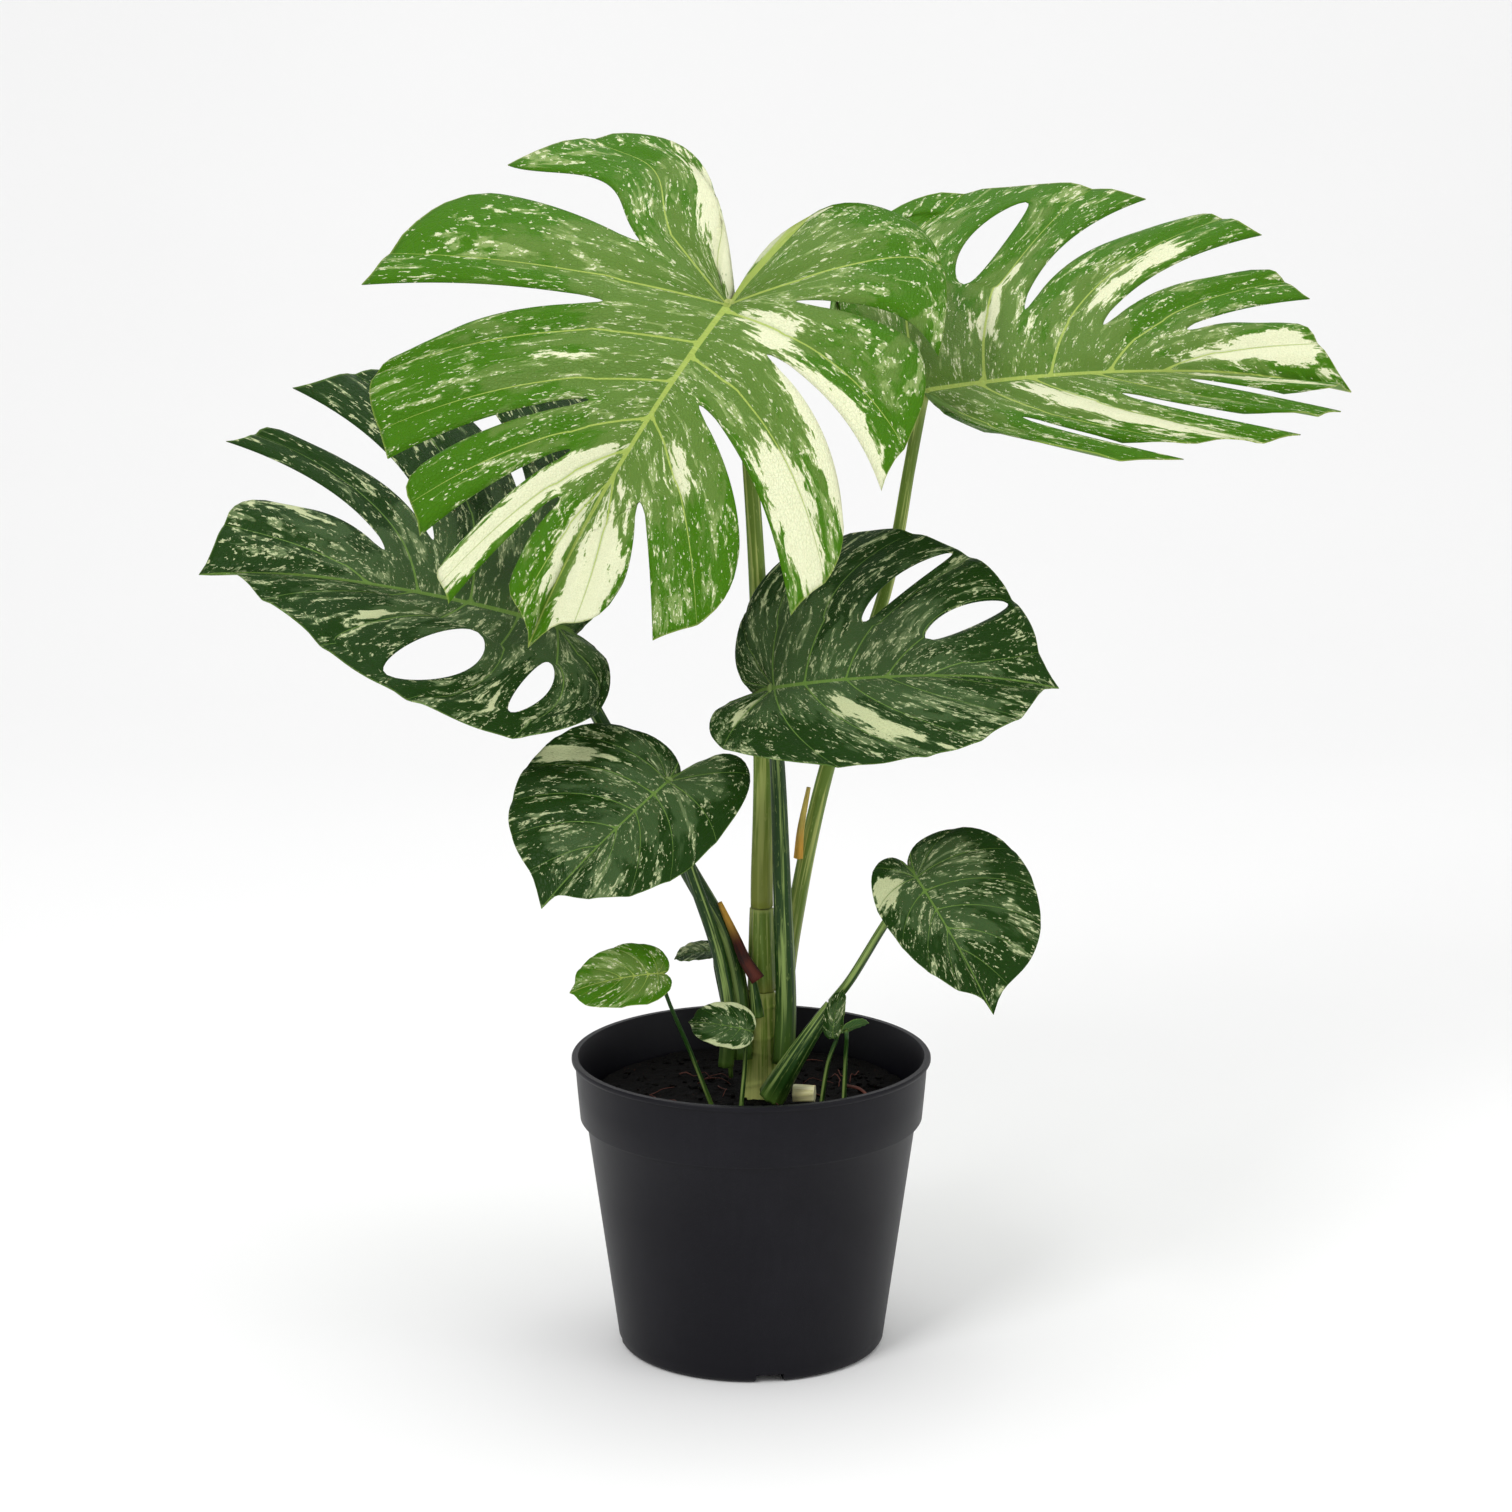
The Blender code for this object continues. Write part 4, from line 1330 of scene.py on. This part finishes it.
LOWER_RIGHT_LEAF = Leaf(
    "lower_right_leaf", 92, Half(59, 24, 0.75, forward=0.2),
    Half(31, 22, 1.45, pale=(Patch(0.35, 0.6, 0.08, 0.4, 0.8),), forward=0.2),
    (94, -40, 140), -47, -47, -28, 15, (3, 3), 8, tip=0.16, thickness=0.7, grain=0.7)

SMALL_LEAVES = (
    # place, heading, rise, roll, length, width of a half, then the stalk's way up
    ((-53, -60, 89), 180, -12, 38, 52, 22, ((-22, -34, 0.8), (-35, -42, 38), (-46, -52, 68))),
    ((-22, 22, 80), 186, -10, 14, 24, 11, ((-12, 28, 0.8), (-15, 27, 36), (-21, 23, 70))),
    ((-3, -40, 50), 172, 6, 44, 34, 15, ((-6, -36, 0.8), (-4, -34, 22), (-3, -35, 40))),
    ((47, -44, 50), 65, 60, 20, 26, 8, ((40, -36, 0.8), (44, -41, 30))),
    ((54, -56, 55), 10, 15, 40, 14, 7, ((53, -46, 0.8), (54, -50, 36))),
)


class Age(Enum):
    """How old a leaf is: its upper and lower finish and slot, then its stalk's finish and slot."""
    YOUNG = (YOUNG.name, YOUNG_BACK.name, "young_leaf", "pale_stalk_skin", "pale_stalk")
    MATURE = (MATURE.name, MATURE_BACK.name, "mature_leaf", "dark_stalk_skin", "dark_stalk")


BIG_LEAVES = (
    # leaf, age, the stalk's way up, its radius at the foot and at the blade
    (TOP_LEAF, Age.YOUNG, ((6, 1, 112.7), (6, 1.5, 130), (7, 8, 198), (4, 30, 290), (-1, 38, 370),
                           (-7, 30, 435)), 6.5, 3.5),
    (UPPER_RIGHT_LEAF, Age.YOUNG, ((16.5, 13.9, 31), (24, 15, 95), (44, 30, 188), (78, 46, 291),
                                   (92, 62, 360)), 5.5, 3.2),
    (LEFT_LEAF, Age.MATURE, ((-5.9, -13.6, 25), (-7, -8.5, 56), (-15, 0, 93), (-37, 2, 135),
                             (-80, 4, 210)), 6.5, 3.5),
    (MIDDLE_RIGHT_LEAF, Age.MATURE, ((18.6, -12.1, 22), (20, -10, 60), (18, -14, 121),
                                     (15, -16, 201)), 6.5, 3.5),
    (LOWER_LEFT_LEAF, Age.MATURE, ((-14.8, -19.1, 22), (-13.1, -17.8, 56), (-20.2, -11.6, 93),
                                   (-38, -20, 150)), 4.5, 3.0),
    (LOWER_RIGHT_LEAF, Age.MATURE, ((46.7, -23.8, 61.5), (58, -28, 78), (76, -26, 108)), 2.8, 2.2),
)

SHEATHS = (
    # name, finish, slot, radius at both ends, ridges, way
    ("top_leaf_sheath", "pale_stalk_skin", "pale_stalk", 8.2, 6.6, 9,
     ((6, 1, 62.3), (6, 1, 87), (6, 1, 112))),
    ("base_sheath", "dark_stalk_skin", "dark_stalk", 8, 3.5, 9,
     ((12, -22, 4.5), (21, -27, 22), (32, -27, 40), (46, -24, 60.4))),
    ("green_sheath_point", "dark_stalk_skin", "dark_stalk", 4, 1, 5,
     ((3.5, -13, 50), (2, -12, 64), (-1, -9, 84))),
    ("dry_sheath_strip", "dry_skin", "dry_sheath", 1.3, 4.4, 4,
     ((-18.3, -2.5, 116), (-9.3, -5, 96), (-3.5, -12.5, 84), (4, -16, 73))),
    ("dry_sheath_flap", "straw_skin", "straw_sheath", 2.6, 1.2, 4,
     ((27.4, 15.1, 138), (28.9, 14.3, 156), (33.4, 16.3, 180))),
    ("cut_stub", "stub_skin", "cut_stub", 5, 5, 6,
     ((24.5, -17, 5.2), (31, -18, 5.3), (37, -19, 5.4))),
)

ROOTS = (
    # where each thick root lies on the soil
    ((-19, -38, 1.3), (-12, -44, 2.3), (-9, -54, 1.3), (-8, -62, 1.3)),
    ((44, -48, 1.3), (48, -54, 4.3), (52, -62, 1.3), (51, -68, 1.3)),
    ((66, -46, 1.3), (72, -42, 4.3), (78, -40, 1.3)),
    ((-66, -44, 1.3), (-56, -38, 3.3), (-44, -36, 1.3)),
    ((56, 10, 1.3), (64, -4, 3.3), (70, -20, 1.3)),
)


def plant_skins() -> Sequence[Union[LeafSkin, Underside, StalkSkin, DrySheath]]:
    """List every finish of the plant.

    Returns:
        The finishes, not yet made.
    """
    return (
        YOUNG, MATURE, YOUNG_BACK, MATURE_BACK,
        StalkSkin("pale_stalk_skin", (0.13, 0.21, 0.028), (0.40, 0.46, 0.13), (0.24, 0.27, 0.05)),
        StalkSkin("dark_stalk_skin", (0.014, 0.048, 0.006), (0.24, 0.34, 0.09), (0.07, 0.14, 0.02),
                  0.58),
        StalkSkin("pale_stem_skin", (0.16, 0.25, 0.03), (0.42, 0.48, 0.13), (0.60, 0.64, 0.20),
                  0.52, 0.4, 0.9),
        StalkSkin("stub_skin", (0.66, 0.62, 0.30), (0.85, 0.82, 0.52), (0.8, 0.76, 0.44), 0.5),
        DrySheath("dry_skin", (0.006, 0.003, 0.003), (0.09, 0.016, 0.008), (0.55, 0.30, 0.04)),
        DrySheath("straw_skin", (0.30, 0.20, 0.03), (0.62, 0.50, 0.12), (0.60, 0.32, 0.04)),
        DrySheath("root_skin", (0.05, 0.012, 0.008), (0.20, 0.06, 0.04), (0.10, 0.03, 0.02)),
    )


@dataclass
class Plant:
    """The leaves on their stalks, the stem, its sheaths and the roots. Millimetres."""
    lift: float = 12             # how far below a blade its stalk turns square to it
    small_lift: float = 4
    knee: float = 0.16
    finishes: dict[str, Material] = field(default_factory=dict)

    def stalk(self, name: str, way: Sequence[Triple], start: float, end: float, skin: str, slot: str,
              up_to: Sequence[Vector] = (), **shape: float) -> None:
        """Build one stalk, sheath or root, which replaces the node of the same name.

        Args:
            name: The node's name.
            way: The points that it passes: across, back and up from the soil.
            start: Its radius at the first point.
            end: Its radius at the last point.
            skin: Its finish.
            slot: Its material slot.
            up_to: The last points of its way, where they belong to a blade.
            **shape: The rest of its shape.
        """
        points = [over(*place) for place in way] + list(up_to)
        Stalk("stalk_" + name, points, start, end, **shape).build(self.finishes[skin], slot, name)

    def joint(self, leaf: Leaf, lift: float) -> tuple[Vector, Vector]:
        """Where a stalk turns square to its blade, and where it ends under it."""
        foot = leaf.frame().translation - leaf.normal() * (leaf.thickness / 2 + 0.05) * MM
        return foot - leaf.normal() * lift * MM, foot

    def big_leaves(self) -> None:
        """Build the six large leaves and their stalks."""
        for leaf, age, way, start, end in BIG_LEAVES:
            upper, lower, blade_slot, skin, slot = age.value
            Blade(leaf).build(leaf.name + "_blade", self.finishes[upper], self.finishes[lower], blade_slot)
            self.stalk(leaf.name + "_petiole", way, start, end, skin, slot,
                       self.joint(leaf, self.lift), knee=self.knee)

    def little_leaves(self) -> None:
        """Build the small leaves low over the soil. The third one has a cream edge."""
        lower, slot, skin, stalk_slot = Age.MATURE.value[1:]
        for number, (at, heading, rise, roll, length, wide, way) in enumerate(SMALL_LEAVES, 1):
            pale = (Patch(0.4, 1.0, 0.4, 0.25, 0.9),) if number == 3 else ()
            half = Half(wide, length * 0.18, 0.8, pale=pale, forward=0.25)
            leaf = Leaf("small_leaf_%d" % number, length, half, half, at, heading, rise, roll, 25, (6, 6), 20,
                        heel=3.2, thickness=0.5, grain=0.5)
            upper = YOUNG.name if number == 1 else MATURE.name
            Blade(leaf).build(leaf.name, self.finishes[upper], self.finishes[lower], slot)
            self.stalk("small_stalk_%d" % number, way, 1.4, 1.1, skin, stalk_slot,
                       self.joint(leaf, self.small_lift), knee=self.knee, around=14, along=24)

    def foot(self) -> None:
        """Build the sheaths, the stub and the thick roots."""
        roots = [("soil_root_%d" % number, "root_skin", "root", 1, 0.8, 3, way)
                 for number, way in enumerate(ROOTS, 1)]
        for name, skin, slot, start, end, ridges, way in (*SHEATHS, *roots):
            around, along = (12, 20) if start < THIN else (36, 40)
            self.stalk(name, way, start, end, skin, slot, ridges=ridges, ridge=0.06,
                       around=around, along=along)

    def build(self) -> None:
        """Build the whole plant."""
        for skin in plant_skins():
            self.finishes[skin.name] = skin.build()
        self.big_leaves()
        self.little_leaves()
        Stem().build(self.finishes["pale_stem_skin"])
        self.foot()


# ---- Studio --------------------------------------------------------------------------------


@dataclass
class Studio:
    """A pale floor that sweeps up behind, soft lights and the camera. Metres."""
    floor_reach: float = 9.0
    flat_share: float = 0.6      # of the sheet's length, before it sweeps up
    sweep: float = 1.6
    wall: float = 1.4
    sunk: float = 0.0005         # below the pot's base
    aim: Triple = (0, 0, 0.35)   # what the lights face
    air: float = 0.68
    camera: Triple = (0.0028, -2.229, 0.845)
    pitch: float = 12.468
    lens: float = 94.5           # millimetres
    lights: tuple[tuple[str, Triple, float, float], ...] = (
        # name, place, side, watts
        ("key_light", (-1.3, -2.0, 2.3), 1.0, 38),
        ("fill_light", (2.0, -1.4, 1.4), 1.6, 12),
        ("top_light", (0.2, 0.5, 2.8), 2.2, 26),
    )

    def backdrop(self) -> None:
        """Make the floor and the wall behind it as one curved sheet."""
        columns, rows = 12, 30

        def place(column: int, row: int) -> Vector:
            """Lay one point of the sheet."""
            x = (column / columns - 0.5) * 2 * self.floor_reach
            run = row / rows
            if run < self.flat_share:
                y = -self.floor_reach + run / self.flat_share * (self.floor_reach + self.sweep)
                return Vector((x, y, -self.sunk))
            turn = (run - self.flat_share) / (1 - self.flat_share) * math.pi / 2
            return Vector((x, self.sweep + self.wall * math.sin(turn),
                           self.wall - self.wall * math.cos(turn) - self.sunk))

        floor = sheet("studio_floor", columns, rows, place)
        bpy.ops.object.shade_smooth()
        bench = Bench("studio_paper", Specular_IOR_Level=0.2)
        cloud = bench.noise(bench.place(), 1.5, 2, 0.5)
        colour = bench.mix(cloud, (0.90, 0.90, 0.90), (0.93, 0.93, 0.93))
        floor.data.materials.append(bench.finish(colour, bench.times(cloud, 0.1, 0.8), cloud, 0.0005, 0.1))

    def light(self, name: str, place: Triple, size: float, power: float) -> None:
        """Hang one square soft light that faces the plant.

        Args:
            name: The light's name.
            place: Where it hangs.
            size: Its side.
            power: Its watts.
        """
        lamp = bpy.data.lights.new(name, "AREA")
        lamp.shape = "SQUARE"
        lamp.size = size
        lamp.energy = power
        holder = bpy.data.objects.new(name, lamp)
        bpy.context.scene.collection.objects.link(holder)
        holder.location = place
        holder.rotation_euler = (Vector(self.aim) - Vector(place)).to_track_quat("-Z", "Y").to_euler()

    def build(self) -> None:
        """Set up the floor, the lights, the sky and the camera."""
        self.backdrop()
        for name, place, size, power in self.lights:
            self.light(name, place, size, power)
        world = bpy.data.worlds.new("studio_air")
        world.use_nodes = True
        back = world.node_tree.nodes["Background"]
        back.inputs["Color"].default_value = (1.0, 1.0, 1.0, 1)
        back.inputs["Strength"].default_value = self.air
        bpy.context.scene.world = world
        bpy.context.scene.view_settings.view_transform = "Standard"
        view = bpy.data.cameras.new("studio_camera")
        view.lens = self.lens
        view.sensor_width = 36
        holder = bpy.data.objects.new("studio_camera", view)
        bpy.context.scene.collection.objects.link(holder)
        holder.location = self.camera
        holder.rotation_euler = (math.radians(90 - self.pitch), 0, 0)
        bpy.context.scene.camera = holder


def main() -> None:
    """Build the pot, the soil, the plant and the studio."""
    logging.basicConfig(level=logging.INFO, format="%(name)s: %(message)s")
    pot = NurseryPot()
    pot.build(NurseryPlastic("nursery_plastic").build())
    wall = pot.wall + 0.7
    soil = Soil((pot.body(pot.height - pot.band) - wall - 1.5) * MM, (pot.body(0) - wall - 1) * MM,
                (pot.floor + 0.4) * MM)
    mix = PottingMix("potting_mix").build()
    soil.bed(mix)
    soil.scatter(mix)
    plant = Plant()
    plant.build()
    soil.roots(plant.finishes["root_skin"])
    Studio().build()


if __name__ == "__main__":
    main()
